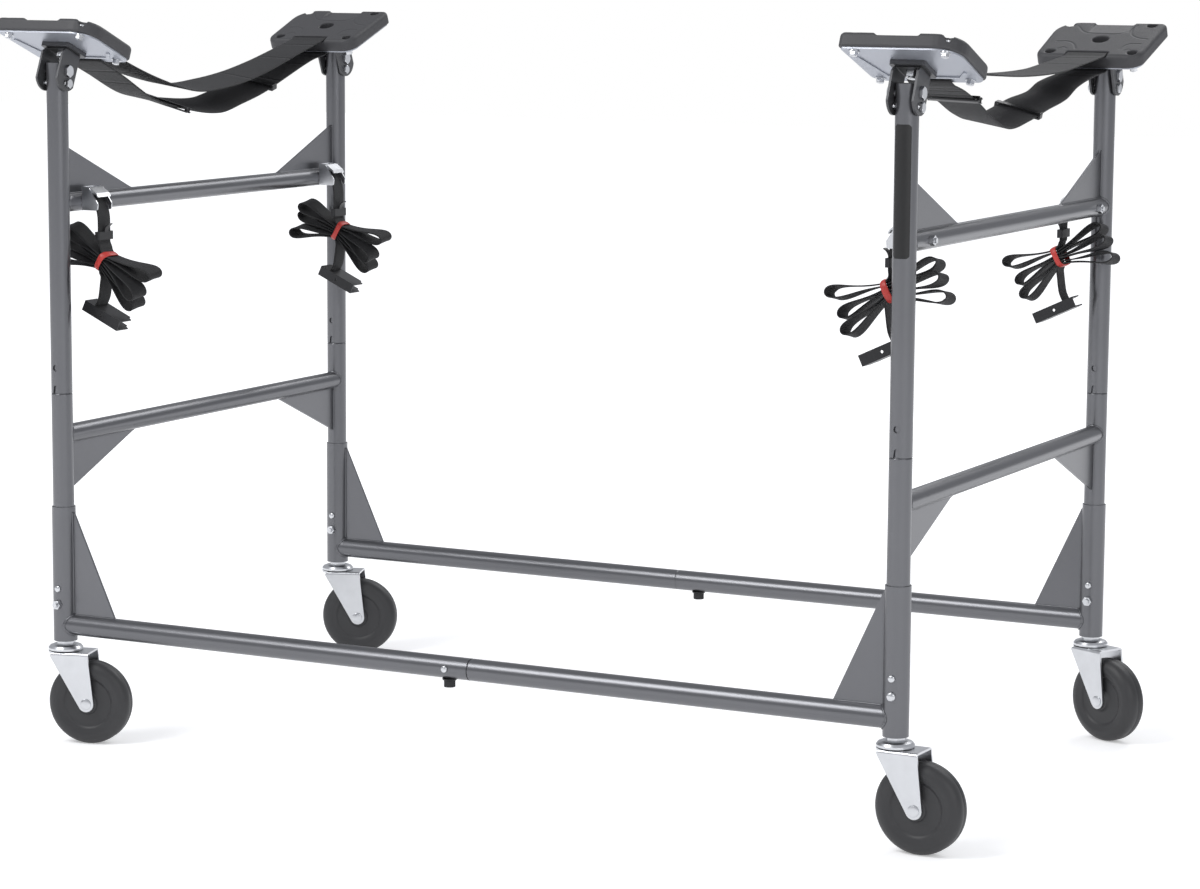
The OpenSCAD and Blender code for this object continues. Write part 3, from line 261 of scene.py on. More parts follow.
# Route of one strap in its own axes, x towards the rack's middle and z up from the crossbar,
# with the direction across the band at each point. The bundle's axis slopes by some degrees.
def strapRoute(hand, sliderDrop, waistDrop, slope):
    lead = [*tie["lead"], [tie["strapX"], -tie["leadStart"]], [tie["strapX"], -sliderDrop],
            [tie["strapX"], -sliderDrop - tie["pastSlider"]]]
    top = 3 * tie["step"]
    entry = turned(np.array(tie["entry"]) + [0, top], slope)
    leave = turned(np.array(tie["leave"]) - [0, top], slope)
    waist = np.array([tie["waistX"], -waistDrop])
    y = np.array([[0, 1.0, 0]])

    def tilted(p):
        level = turned(p[:, ::2], slope)
        return np.stack([level[:, 0], p[:, 1], level[:, 1]], 1)

    rows = [inSpace(smoothPath(np.vstack([lead, waist + entry]), tie["curveSteps"])[:-1])]
    widths = [np.repeat(y, len(rows[0]), 0)]
    for i in range(3):
        for k, shape in ((2 * i, tie["inner"][i]), (2 * i + 1, tie["outer"][i])):
            points, across = petal(k, *shape, hand)
            rows += [inSpace(waist) + tilted(waistPlace(k)), inSpace(waist) + tilted(points)]
            widths += [y, tilted(across)]
    rows.append(inSpace(smoothPath(np.vstack([leave, tie["tail"]]) + waist, tie["curveSteps"])))
    widths.append(np.repeat(y, len(rows[-1]), 0))
    return np.vstack(rows), np.vstack(widths)


# Origin of a tie-down's axes and their signs
def tieFrame(key):
    side, row = corners[key]
    origin = np.array([side * rack["halfLength"], row * (rack["halfDepth"] - tie["fromPost"]),
                       rack["footHeight"] + rack["upperBar"]])
    return origin, np.array([-side, 1, 1.0])


def makeStrap(key):
    origin, signs = tieFrame(key)
    route, across = strapRoute(-corners[key][0], *tie["places"][key])
    line = origin + route * signs
    section = bandSection(tie["width"], tie["thick"])
    rings = bandRings(line, across * signs, section[None, :, 0], section[None, :, 1])
    uv = bandUv(pathLengths(line), section[None, :, 0])
    piece = newPiece("tieStrap" + key.capitalize(), rings, tubeFaces(len(line), len(section)), uv)
    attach(piece, "frame")
    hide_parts("tie_straps")
    return piece


straps = [makeStrap(key) for key in corners]


print("slings")
sling = {
    "width": 50.0,
    "thick": 1.8,
    "sectionSteps": (4, 14),    # round an edge and across a face
    "density": 60,              # stations to a unit of a run's share
    "curveSteps": 4,
    "slotU": 4.0,
    "slotV": 41.0,
    "rim": (52.0, 48.3),        # where the upper run leaves a cushion, in the head's v and w
    "under": (54.0, 29.1),      # where the lower run leaves it
    # way through the slot: v from the slot's middle, w from the underside, then from the rim
    "slotFoot": ((4.5, 0), (1.6, 0.4), (0, 2.4)),
    "slotTop": ((0, -2.9), (1, -0.6), (3.2, 0)),
    # drops of a run at its shares from front to rear, lean at the middle in degrees, and cuts, in mm
    # from the rack's middle, between the parts that ride on different bodies
    "left": {
        "upper": ((-1, 0), (-.84, 17), (-.54, 38), (-.22, 52), (.05, 49), (.3, 41), (.55, 28), (.82, 11),
                  (1, 0)),
        "lower": ((-1, 0), (-.88, 12), (-.6, 41), (-.3, 53), (0, 58), (.2, 49), (.4, 39), (.6, 25), (.88, 5),
                  (1, 0)),
        "lean": (11, 20),
        "cuts": ((225, 165, 70), (235, 200, 140)),
    },
    "right": {
        "upper": ((-1, 0), (-.75, 6), (-.4, 12), (0, 14.5), (.4, 13), (.65, 8), (1, 0)),
        "lower": ((-1, 0), (-.87, 7), (-.7, 20), (-.5, 38), (-.3, 48), (-.05, 41), (.2, 31), (.45, 23),
                  (.6, 12), (.85, 3), (1, 0)),
        "lean": (2, 14),
        "cuts": ((225, 165, 70), (240, 226, 208)),
    },
}


# A point of a head's v and w, as world y for the front row and height
def headPoint(v, w):
    return np.array([v * math.cos(padTilt) + w * math.sin(padTilt) - rack["halfDepth"],
                     pivotHeight - v * math.sin(padTilt) + w * math.cos(padTilt)])


# Drop along a run at the shares t: a cubic through the run's points, with their mean slopes
def runDrop(run, t):
    x, y = np.array(run, float).T
    k = np.arange(len(x))
    before, after = np.maximum(k - 1, 0), np.minimum(k + 1, len(x) - 1)
    slope = (y[after] - y[before]) / (x[after] - x[before])
    i = np.clip(np.searchsorted(x, t, "right") - 1, 0, len(x) - 2)
    w = x[i + 1] - x[i]
    s = (t - x[i]) / w
    return (y[i] * (1 + 2 * s) * (1 - s) ** 2 + slope[i] * w * s * (1 - s) ** 2
            + y[i + 1] * s * s * (3 - 2 * s) - slope[i + 1] * w * s * s * (1 - s))


# Path, width direction and share of one run from front to rear, sampled so that each cut is a station
def runStations(side, run, end, lean, cuts):
    marks = np.array([-1, *(-c / -end[0] for c in cuts), *(c / -end[0] for c in cuts[::-1]), 1.0])
    counts = np.maximum(4, np.round(np.diff(marks) * sling["density"]).astype(int))
    spans = [np.linspace(a, b, n, endpoint=False) for a, b, n in zip(marks, marks[1:], counts)]
    t = np.concatenate([*spans, [1.0]])
    index = np.concatenate([[0], np.cumsum(counts)])
    x = side * rack["halfLength"] - sling["slotU"] * t
    path = np.stack([x, -end[0] * t, end[1] - runDrop(run, t)], 1)
    a = np.radians(lean) * np.cos(math.pi / 2 * t) ** 2
    return path, np.stack([np.cos(a), 0 * a, -np.sin(a)], 1), index


# Way through a cushion's slot, from the lower run up to the upper one, for the front row
def slotStations(side, row):
    foot = np.array(sling["slotFoot"]) + [sling["slotV"], sling["under"][1]]
    top = np.array(sling["slotTop"]) + [sling["slotV"], sling["rim"][1]]
    way = smoothPath(np.vstack([foot, top]), sling["curveSteps"])
    points = np.array([headPoint(*p) for p in way])
    path = np.stack([np.full(len(way), side * rack["halfLength"] - sling["slotU"] * row),
                     -row * points[:, 0], points[:, 1]], 1)
    return path, np.tile([1.0, 0, 0], (len(path), 1))


def makeSling(name, side, front, rear):
    shape = sling[name]
    upper, upperAcross, upperCuts = runStations(side, shape["upper"], headPoint(*sling["rim"]),
                                                shape["lean"][0], shape["cuts"][0])
    lower, lowerAcross, lowerCuts = runStations(side, shape["lower"], headPoint(*sling["under"]),
                                                shape["lean"][1], shape["cuts"][1])
    frontSlot, frontAcross = slotStations(side, -1)
    rearSlot, rearAcross = slotStations(side, 1)
    path = np.vstack([frontSlot, upper, rearSlot[::-1], lower[::-1]])
    across = np.vstack([frontAcross, upperAcross, rearAcross[::-1], lowerAcross[::-1]])
    section = bandSection(sling["width"], sling["thick"], *sling["sectionSteps"])
    rings = bandRings(path, across, section[None, :, 0], section[None, :, 1], closed=True)
    uv = bandUv(np.cumsum(np.linalg.norm(np.roll(path, -1, 0) - path, axis=1)), section[None, :, 0])
    total = len(path)
    upperAt = len(frontSlot) + upperCuts
    # the lower run goes back from rear to front
    lowerAt = len(frontSlot) + len(upper) + len(rearSlot) + (len(lower) - 1 - lowerCuts)
    padFront, padRear, headFront, headRear = ("pad_" + front, "pad_" + rear, "pad_bracket_" + front,
                                              "pad_bracket_" + rear)
    # name, first and last station, body, and a second body where the part bends between the two;
    # a run's cuts are its marks 1 to 6
    parts = [("Front", lowerAt[1], total + upperAt[1], padFront, None),
             ("Rear", upperAt[6], lowerAt[6], padRear, None)]
    bodies = (("FrontEnd", padFront, headFront), ("FrontTurn", headFront, "frame"), ("Middle", "frame", None),
              ("RearTurn", "frame", headRear), ("RearEnd", headRear, padRear))
    for run, at in (("Upper", upperAt), ("Lower", lowerAt)):
        for k, (part, a, b) in enumerate(bodies, 1):
            parts.append((run + part, at[k], at[k + 1], a, b))
    pieces = []
    for part, first, last, a, b in parts:
        rows = np.arange(min(first, last), max(first, last) + 1) % total
        piece = newPiece("sling" + name.capitalize() + part, rings[rows],
                         tubeFaces(len(rows), len(section)), uv[rows])
        if b:
            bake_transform(piece)
        else:
            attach(piece, a)
        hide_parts("sling_" + name)
        pieces.append(piece)
    return pieces


slings = makeSling("left", -1, "fl", "rl") + makeSling("right", 1, "fr", "rr")


print("bands")
band = {
    "width": 7.5,
    "thick": 1.3,
    "halfWide": 14.6,
    "halfHigh": 12.3,
    "squareness": 3.2,
    "slant": (1.6, 0.5),        # wandering along the bundle, once and three times round
    "wander": 0.13,             # share by which the width wanders
    "bow": 0.5,
    "steps": 72,
    "sectionSteps": (4, 6),
    "firstSeed": 11,
}


# Elastic band round a bundle: a rounded loop |y / a|^k + |n / b|^k = 1, with k the squareness,
# whose width and lie wander a little
def makeBand(key, seed):
    rng = np.random.default_rng(seed)
    t = np.linspace(0, 2 * math.pi, band["steps"], endpoint=False)
    power = 2 / band["squareness"]
    y = band["halfWide"] * np.sign(np.cos(t)) * np.abs(np.cos(t)) ** power
    n = band["halfHigh"] * np.sign(np.sin(t)) * np.abs(np.sin(t)) ** power
    phase = rng.uniform(0, 6, 3)
    slant = band["slant"][0] * np.sin(t + phase[0]) + band["slant"][1] * np.sin(3 * t + phase[1])
    sliderDrop, waistDrop, slope = tie["places"][key]
    a = math.radians(slope)
    along, rise = np.array([math.cos(a), 0, math.sin(a)]), np.array([-math.sin(a), 0, math.cos(a)])
    path = (slant[:, None] * along + y[:, None] * [0, 1.0, 0] + n[:, None] * rise
            + [tie["waistX"], 0, -waistDrop])
    origin, signs = tieFrame(key)
    section = bandSection(1.0, band["thick"] / band["width"], *band["sectionSteps"])
    wide = section[None, :, 0] * band["width"] * (1 + band["wander"] * np.sin(2 * t + phase[2]))[:, None]
    bow = -band["bow"] * (1 - (2 * section[:, 0]) ** 2)
    rings = bandRings(path, along, wide, (section[:, 1] * band["width"] - bow)[None], closed=True)
    faces = np.array(tubeFaces(len(t), len(section), closed=True))
    if signs[0] < 0:
        faces = faces[:, ::-1]
    uv = bandUv(pathLengths(path), section[None, :, 0] * band["width"])
    piece = newPiece("band" + key.capitalize(), origin + rings * signs, faces, uv)
    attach(piece, "frame")
    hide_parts("bundle_bands")
    return piece


bands = [makeBand(key, band["firstSeed"] + i) for i, key in enumerate(corners)]


print("cushions")
cushion = {
    "voxel": 0.0010,            # metres
    "mergeDistance": 1e-5,      # metres
    "ease": 0.5,
    "easeSteps": 4,
    "top": 49.5,
    "groove": 0.5,              # depth of the moulded lines
    "grooveHalf": 0.9,          # their half width
    "fade": (2.5, 1.5),         # below the top, where the lines begin to show and how fast they do
    "curveSteps": 6,
    # the moulded lines, as u and v points
    "lines": (
        ((-58, 2), (-44, -2), (-34, -12), (-30, -30)),
        ((-34, -38), (-20, -14), (4, -12), (26, -16), (40, -34)),
        ((52, 12), (38, 12), (28, 20), (22, 33)),
        ((-54, 16), (-42, 16), (-36, 22), (-33, 33)),
        ((44, 33), (38, 29), (33, 33)),
        ((-40, 36), (-44, 32), (-48, 36)),
    ),
}


# World points, in mm, as a head's own u, v and w
def inHead(key, points):
    side, row = corners[key]
    p = points - np.array([side * rack["halfLength"], row * rack["halfDepth"], pivotHeight])
    p[:, :2] *= -row
    v = p[:, 1] * math.cos(padTilt) - p[:, 2] * math.sin(padTilt)
    w = p[:, 1] * math.sin(padTilt) + p[:, 2] * math.cos(padTilt)
    return np.stack([p[:, 0], v, w], 1)


# A node's mesh with its doubles merged and turned into an even skin of small quads
def evenSkin(node, name):
    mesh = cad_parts[node].data.copy()
    mesh.name = name
    piece = bpy.data.objects.new(name, mesh)
    bpy.context.scene.collection.objects.link(piece)
    merge = piece.modifiers.new("merge", "WELD")
    merge.merge_threshold = cushion["mergeDistance"]
    skin = piece.modifiers.new("skin", "REMESH")
    skin.mode, skin.voxel_size = "VOXEL", cushion["voxel"]
    ease = piece.modifiers.new("ease", "SMOOTH")
    ease.factor, ease.iterations = cushion["ease"], cushion["easeSteps"]
    graph = bpy.context.evaluated_depsgraph_get()
    done = bpy.data.meshes.new_from_object(piece.evaluated_get(graph))
    piece.modifiers.clear()
    piece.data = done
    done.materials.clear()
    done.polygons.foreach_set("use_smooth", np.ones(len(done.polygons), bool))
    return piece


# Distance of points from a line of straight parts in the cushion's plane
def lineDistance(p, line):
    a, b = line[:-1], line[1:]
    d = b - a
    s = np.clip(((p[:, None] - a) * d).sum(-1) / (d * d).sum(-1), 0, 1)
    return np.linalg.norm(p[:, None] - a - s[..., None] * d, axis=-1).min(1)


# The node's even skin with its moulded lines pressed in by groove * exp(-(distance / grooveHalf)^2)
def makeCushion(key):
    piece = evenSkin("pad_" + key, "cushion" + key.capitalize())
    mesh = piece.data
    points = np.zeros(len(mesh.vertices) * 3)
    mesh.vertices.foreach_get("co", points)
    points = points.reshape(-1, 3)
    local = inHead(key, points / millimetre)
    dip = np.zeros(len(points))
    for line in cushion["lines"]:
        away = lineDistance(local[:, :2], smoothPath(line, cushion["curveSteps"]))
        dip = np.maximum(dip, np.exp(-(away / cushion["grooveHalf"]) ** 2))
    top = np.clip((local[:, 2] - cushion["top"] + cushion["fade"][0]) / cushion["fade"][1], 0, 1)
    normal = np.array([0, -corners[key][1] * math.sin(padTilt), math.cos(padTilt)])
    points -= (dip * top * cushion["groove"])[:, None] * normal * millimetre
    mesh.vertices.foreach_set("co", points.ravel())
    mesh.update()
    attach(piece, "pad_" + key)
    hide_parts("pad_" + key)
    return piece


cushions = [makeCushion(key) for key in corners]


print("wheels")
wheel = {
    "radius": 50.8,
    "halfWidth": 15.5,
    "axleDrop": 74.7,
    "trail": 31.1,
    "hubHalf": 17.0,
    # radius, and half width from the hub's face or from the tread's edge
    "hub": ((4.05, 0), (9.6, 0), (11.6, -0.3), (12.4, -1.2)),
    "dish": ((13.2, -1.9), (14.2, -2.6), (16, -2.9), (25.5, -3.4), (28.2, -3.5), (29.3, -3.2), (30.2, -2.3),
             (31.3, -1.7), (33.5, -1.2), (35.8, -0.9)),
    "crown": 4.5,               # half width of the tread's flat
    "shoulderSteps": 12,
    "partingLine": ((0, 1.0), (-0.25, 0.4), (-0.25, -0.4), (0, -1.0)),
    "steps": 160,
    "sharpAngle": 42,
    "headings": {"fl": 16, "fr": -2, "rl": 20, "rr": -24},
}


# Side of the wheel from bore to tread as (radius, half width), with a hub boss, a stepped dish,
# a raised ring and a tread whose shoulder is a quarter circle
def wheelProfile():
    r, w, crown = wheel["radius"], wheel["halfWidth"], wheel["crown"]
    hub = np.array(wheel["hub"]) + [0, wheel["hubHalf"]]
    dish = np.array(wheel["dish"]) + [0, w]
    t = np.linspace(0, math.pi / 2, wheel["shoulderSteps"] + 1)
    tread = np.stack([r - r / 4 * (1 - np.sin(t)), crown + (w - crown) * np.cos(t)], 1)
    return np.vstack([hub, dish, tread])


def makeWheel(key):
    side, row = corners[key]
    half = wheelProfile()
    rim = np.array(wheel["partingLine"]) + [wheel["radius"], 0]
    profile = np.vstack([half, rim, half[::-1] * [1, -1]])
    t = np.linspace(0, 2 * math.pi, wheel["steps"], endpoint=False)
    heading = math.radians(wheel["headings"][key])
    forward = np.array([math.cos(heading), math.sin(heading), 0])
    axle = np.array([-math.sin(heading), math.cos(heading), 0])
    height = rack["footHeight"] - wheel["axleDrop"]
    centre = np.array([side * rack["halfLength"], row * rack["halfDepth"], height]) + forward * wheel["trail"]
    radial = np.cos(t)[:, None] * forward + np.sin(t)[:, None] * [0, 0, 1.0]
    points = centre + profile[None, :, :1] * radial[:, None] + profile[None, :, 1:] * axle
    faces = gridFaces(len(t), len(profile), wrapRows=True)
    piece = newPiece("wheel" + key.capitalize(), points, faces, angle=wheel["sharpAngle"])
    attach(piece, "wheel_" + key)
    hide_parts("wheel_" + key)
    return piece


wheels = [makeWheel(key) for key in corners]


print("label place")
label = {
    "radius": 12.72,            # just clear of the post
    "thick": 0.12,
    "half": 46.0,               # degrees each side of the front
    "low": 639.0,               # heights over the floor
    "high": 779.5,
    "corner": 3.0,
    "rows": 60,
    "columns": 41,
    "sharpAngle": 50,
}


# Bare black vinyl wrapped on the front right post: a grid of angle and height whose ends pull in at the
# rounded corners
def makeLabel():
    angles = np.linspace(-1, 1, label["columns"])
    heights = np.linspace(label["low"], label["high"], label["rows"])
    near = np.minimum(heights - label["low"], label["high"] - heights)
    c = label["corner"]
    pull = np.where(near < c, c - np.sqrt(np.maximum(c * c - (c - np.minimum(near, c)) ** 2, 0)), 0)
    reach = math.radians(label["half"]) - pull / label["radius"]
    a = angles[None, :] * reach[:, None]
    x, y = rack["halfLength"], -rack["halfDepth"]
    z = np.broadcast_to(heights[:, None], a.shape)
    layers = [np.stack([x + r * np.sin(a), y - r * np.cos(a), z], -1)
              for r in (label["radius"], label["radius"] + label["thick"])]
    rows, columns = a.shape
    n = rows * columns
    inner = gridFaces(rows, columns, wrapColumns=False)
    outer = gridFaces(rows, columns, wrapColumns=False, start=n)
    rim = np.concatenate([np.arange(columns), columns - 1 + columns * np.arange(1, rows),
                          n - 2 - np.arange(columns - 1), columns * np.arange(rows - 2, 0, -1)])
    wall = np.stack([rim, np.roll(rim, -1), np.roll(rim, -1) + n, rim + n], 1)
    piece = newPiece("labelPlace", np.stack(layers), np.vstack([inner, outer[:, ::-1], wall]),
                     angle=label["sharpAngle"])
    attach(piece, "frame")
    return piece


labelPlace = makeLabel()


print("welds")
weld = {
    "ripple": 0.16,
    "pitch": 1.6,               # from one ripple to the next
    "step": 0.55,               # from one ring to the next
    "sides": 10,
    "taper": 1.5,               # at the ends of an open bead
    "tip": 0.35,                # share of the radius left there
    "aside": 1.9,               # from a gusset's middle to its beads
    "start": 1.0,               # of a gusset's beads, off the post or the tube
    "sink": 0.1,
    "saddleSteps": 60,
    # radius round the tube and along its gusset, then the gusset's ends: up the post from the tube's
    # surface and along the tube from the post's axis
    "rail": (1.5, 0.95, 125.0, 72.5),
    "bar": (1.35, 0.9, 56.5, 147.0),
}


# Weld bead along a path: a tube whose radius swells at each ripple, radius * (1 + ripple * |sin|)
def beadSurface(path, radius, closed=False):
    full = np.vstack([path, path[:1]]) if closed else np.asarray(path, float)
    lengths = pathLengths(full)
    count = int(lengths[-1] / weld["step"])
    at = np.linspace(0, lengths[-1], count, endpoint=not closed)
    centre = np.stack([np.interp(at, lengths, full[:, k]) for k in range(3)], 1)
    tangent = pathTangents(centre, closed)
    upright = np.abs(tangent[:, 2:]) > 0.9
    across = np.cross(tangent, np.where(upright, [[1.0, 0, 0]], [[0, 0, 1.0]]))
    r = radius * (1 + weld["ripple"] * np.abs(np.sin(math.pi * at / weld["pitch"])))
    if not closed:
        r = r * np.clip(np.minimum(at, at[-1] - at) / weld["taper"] + weld["tip"], 0, 1)
    t = np.linspace(0, 2 * math.pi, weld["sides"], endpoint=False)
    rings = bandRings(centre, across, r[:, None] * np.cos(t), r[:, None] * np.sin(t), closed)
    return rings.reshape(-1, 3), tubeFaces(count, weld["sides"], closed)


# Beads where a tube leaves a post along `axis`, and both sides of the gusset above (rise 1) or below it.
# Round the tube, at the angle t, the post's surface lies sqrt(R^2 - (r cos t)^2) from its axis.
def jointBeads(centre, axis, rise, tubeRadius, postRadius, sizes):
    tubeBead, gussetBead, up, out = sizes
    centre, axis, z = np.array(centre), np.array(axis, float), np.array([0, 0, 1.0])
    aside = np.cross(z, axis)
    t = np.linspace(0, 2 * math.pi, weld["saddleSteps"], endpoint=False)[:, None]
    reach = np.sqrt(postRadius ** 2 - (tubeRadius * np.cos(t)) ** 2)
    saddle = centre + reach * axis + tubeRadius * (np.cos(t) * aside + np.sin(t) * z)
    beads = [beadSurface(saddle, tubeBead, closed=True)]
    for h in (-weld["aside"], weld["aside"]):
        foot = centre + h * aside + math.sqrt(postRadius ** 2 - h * h) * axis
        skin = centre + h * aside + rise * (tubeRadius - weld["sink"]) * z
        beads += [beadSurface([foot + rise * (tubeRadius + d) * z for d in (weld["start"], up)], gussetBead),
                  beadSurface([skin + d * axis for d in (postRadius + weld["start"], out)], gussetBead)]
    return beads


def makeWelds():
    beads = []
    tube, bar, socket = rack["tubeRadius"], rack["barRadius"], rack["socketRadius"]
    for side, row in corners.values():
        for key, height, axis, rise, radii in (("rail", rack["railHeight"], (-side, 0, 0), 1, (tube, socket)),
                                               ("bar", rack["lowerBar"], (0, -row, 0), -1, (bar, tube)),
                                               ("bar", rack["upperBar"], (0, -row, 0), 1, (bar, tube))):
            centre = side * rack["halfLength"], row * rack["halfDepth"], rack["footHeight"] + height
            beads += jointBeads(centre, axis, rise, *radii, weld[key])
    points, faces = joined(beads)
    piece = newPiece("weldBeads", points, faces)
    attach(piece, "frame")
    return piece


weldBeads = makeWelds()


print("materials")
look = {
    # colour, metallic and roughness, then the skin's grain size, cloud size and cloud share,
    # and the bump's strength and its depth in metres
    "framePaint": ((0.155, 0.157, 0.167), 0.75, 0.30, (1400, 14, 0.05), (0.12, 0.0002)),
    "headPaint": ((0.085, 0.086, 0.090), 0.45, 0.42, (1400, 14, 0.06), (0.14, 0.0002)),
    "platePaint": ((0.44, 0.46, 0.51), 0.55, 0.38, (1100, 14, 0.05), (0.12, 0.0002)),
    "zincPlate": ((0.62, 0.63, 0.65), 1.0, 0.30, (700, 60, 0.10), (0.06, 0.0002)),
    "blackSteel": ((0.018, 0.018, 0.020), 0.35, 0.40, (900, 14, 0.10), (0.20, 0.0002)),
    "wheelRubber": ((0.032, 0.032, 0.034), 0.0, 0.50, (1500, 30, 0.12), (0.25, 0.0003)),
    "cushionRubber": ((0.050, 0.050, 0.054), 0.0, 0.55, (1100, 30, 0.14), (0.35, 0.0004)),
    "labelVinyl": ((0.004, 0.004, 0.0045), 0.0, 0.42, (500, 14, 0.05), (0.03, 0.0001)),
    "bandRubber": ((0.50, 0.040, 0.032), 0.0, 0.42, (900, 160, 0.20), (0.15, 0.0002)),
}
webbingLook = {
    "colour": (0.0095, 0.0095, 0.0105),
    "roughness": 0.72,
    "sheen": {"Sheen Weight": 0.06, "Sheen Roughness": 0.4, "Sheen Tint": (0.5, 0.5, 0.55, 1)},
    "pitch": 0.0016,            # metres, of the ribs along the band
    "yarn": 0.0011,             # metres, across it
    "skin": (500, 40, 0.15),
    "bump": (0.5, 0.0003),
}


def nodeTree(owner):
    owner.use_nodes = True
    owner.node_tree.nodes.clear()
    return owner.node_tree


def addNode(tree, kind, **settings):
    node = tree.nodes.new("ShaderNode" + kind)
    for key, value in settings.items():
        setattr(node, key, value)
    return node


# Math node whose inputs are numbers or the outputs of other nodes
def mathNode(tree, operation, *values, clamp=False):
    node = addNode(tree, "Math", operation=operation, use_clamp=clamp)
    for given, value in zip(node.inputs, values):
        if isinstance(value, (int, float)):
            given.default_value = value
        else:
            tree.links.new(value, given)
    return node.outputs[0]


# Node group with a height and a shade from a vector and some numbers
def newGroup(name, numbers):
    tree = bpy.data.node_groups.new(name, "ShaderNodeTree")
    tree.interface.new_socket("Vector", in_out="INPUT", socket_type="NodeSocketVector")
    for title in numbers:
        tree.interface.new_socket(title, in_out="INPUT", socket_type="NodeSocketFloat")
    for title in ("Height", "Shade"):
        tree.interface.new_socket(title, in_out="OUTPUT", socket_type="NodeSocketFloat")
    return tree, tree.nodes.new("NodeGroupInput"), tree.nodes.new("NodeGroupOutput")


# Fine skin of a sprayed or moulded surface: small noise for the height, and broad noise that shifts
# colour and gloss, shade = 1 + 2 * share * (noise - 0.5)
def makeSkinGroup():
    tree, given, result = newGroup("surfaceSkin", ("Grain size", "Cloud size", "Cloud share"))
    noises = []
    for size, detail in (("Grain size", 3), ("Cloud size", 4)):
        noise = addNode(tree, "TexNoise")
        noise.inputs["Detail"].default_value = detail
        tree.links.new(given.outputs["Vector"], noise.inputs["Vector"])
        tree.links.new(given.outputs[size], noise.inputs["Scale"])
        noises.append(noise.outputs[0])
    tree.links.new(noises[0], result.inputs["Height"])
    offset = mathNode(tree, "SUBTRACT", noises[1], 0.5)
    scaled = mathNode(tree, "MULTIPLY", offset, given.outputs["Cloud share"])
    tree.links.new(mathNode(tree, "MULTIPLY_ADD", scaled, 2.0, 1.0), result.inputs["Shade"])
    return tree


# Weave of webbing from its uv in metres: ribs across the band that step from one yarn to the next,
# height = |sin(pi (u / pitch + half step of every other yarn))|^0.6 * |sin(pi v / yarn)|^0.5,
# and painted shade in the valleys between ribs and yarns, shade = 0.55 + 0.7 * height
def makeWeaveGroup():
    tree, given, result = newGroup("webbingWeave", ("Pitch", "Yarn"))
    split = addNode(tree, "SeparateXYZ")
    tree.links.new(given.outputs["Vector"], split.inputs[0])
    u = mathNode(tree, "DIVIDE", split.outputs[0], given.outputs["Pitch"])
    v = mathNode(tree, "DIVIDE", split.outputs[1], given.outputs["Yarn"])
    step = mathNode(tree, "MULTIPLY", mathNode(tree, "FLOOR", v), 0.5)
    phase = mathNode(tree, "MULTIPLY", mathNode(tree, "ADD", u, step), math.pi)
    rib = mathNode(tree, "ABSOLUTE", mathNode(tree, "SINE", phase))
    yarn = mathNode(tree, "ABSOLUTE", mathNode(tree, "SINE", mathNode(tree, "MULTIPLY", v, math.pi)))
    height = mathNode(tree, "MULTIPLY", mathNode(tree, "POWER", rib, 0.6), mathNode(tree, "POWER", yarn, 0.5))
    tree.links.new(height, result.inputs["Height"])
    # painted shade: the colour is darker where the weave is low
    tree.links.new(mathNode(tree, "MULTIPLY_ADD", height, 0.7, 0.55), result.inputs["Shade"])
    return tree


skinGroup = makeSkinGroup()
weaveGroup = makeWeaveGroup()


def placeGroup(tree, nodes, vector, numbers):
    node = tree.nodes.new("ShaderNodeGroup")
    node.node_tree = nodes
    tree.links.new(vector, node.inputs["Vector"])
    for given, value in zip(list(node.inputs)[1:], numbers):
        given.default_value = value
    return node.outputs


# Base colour times the shade of a group
def shaded(tree, colour, shade):
    mix = addNode(tree, "Mix", data_type="RGBA", blend_type="MULTIPLY")
    mix.inputs[0].default_value = 1.0
    mix.inputs[6].default_value = (*colour, 1)
    joinShade = addNode(tree, "CombineColor")
    for k in range(3):
        tree.links.new(shade, joinShade.inputs[k])
    tree.links.new(joinShade.outputs[0], mix.inputs[7])
    return mix.outputs[2]


# Material with a shader, and the outputs of its coordinates and its skin
def newMaterial(name, skin):
    material = bpy.data.materials.new(name)
    tree = nodeTree(material)
    shader = addNode(tree, "BsdfPrincipled")
    tree.links.new(shader.outputs[0], addNode(tree, "OutputMaterial").inputs[0])
    place = addNode(tree, "TexCoord").outputs
    return material, tree, shader, place, placeGroup(tree, skinGroup, place["Object"], skin)


def addBump(tree, shader, height, strength, depth):
    bump = addNode(tree, "Bump")
    bump.inputs["Strength"].default_value = strength
    bump.inputs["Distance"].default_value = depth
    tree.links.new(height, bump.inputs["Height"])
    tree.links.new(bump.outputs[0], shader.inputs["Normal"])


def makeMaterial(name):
    colour, metallic, roughness, skinSizes, bump = look[name]
    material, tree, shader, place, skin = newMaterial(name, skinSizes)
    tree.links.new(shaded(tree, colour, skin["Shade"]), shader.inputs["Base Color"])
    shader.inputs["Metallic"].default_value = metallic
    tree.links.new(mathNode(tree, "MULTIPLY", skin["Shade"], roughness), shader.inputs["Roughness"])
    addBump(tree, shader, skin["Height"], *bump)
    return material


def makeWebbing():
    material, tree, shader, place, skin = newMaterial("webbing", webbingLook["skin"])
    weave = placeGroup(tree, weaveGroup, place["UV"], (webbingLook["pitch"], webbingLook["yarn"]))
    # colour darkened by the weave's painted shade in its valleys, times the skin's random tone
    both = mathNode(tree, "MULTIPLY", weave["Shade"], skin["Shade"])
    tree.links.new(shaded(tree, webbingLook["colour"], both), shader.inputs["Base Color"])
    shader.inputs["Roughness"].default_value = webbingLook["roughness"]
    for title, value in webbingLook["sheen"].items():
        shader.inputs[title].default_value = value
    addBump(tree, shader, weave["Height"], *webbingLook["bump"])
    return material


materials = {name: makeMaterial(name) for name in look}
materials["webbing"] = makeWebbing()

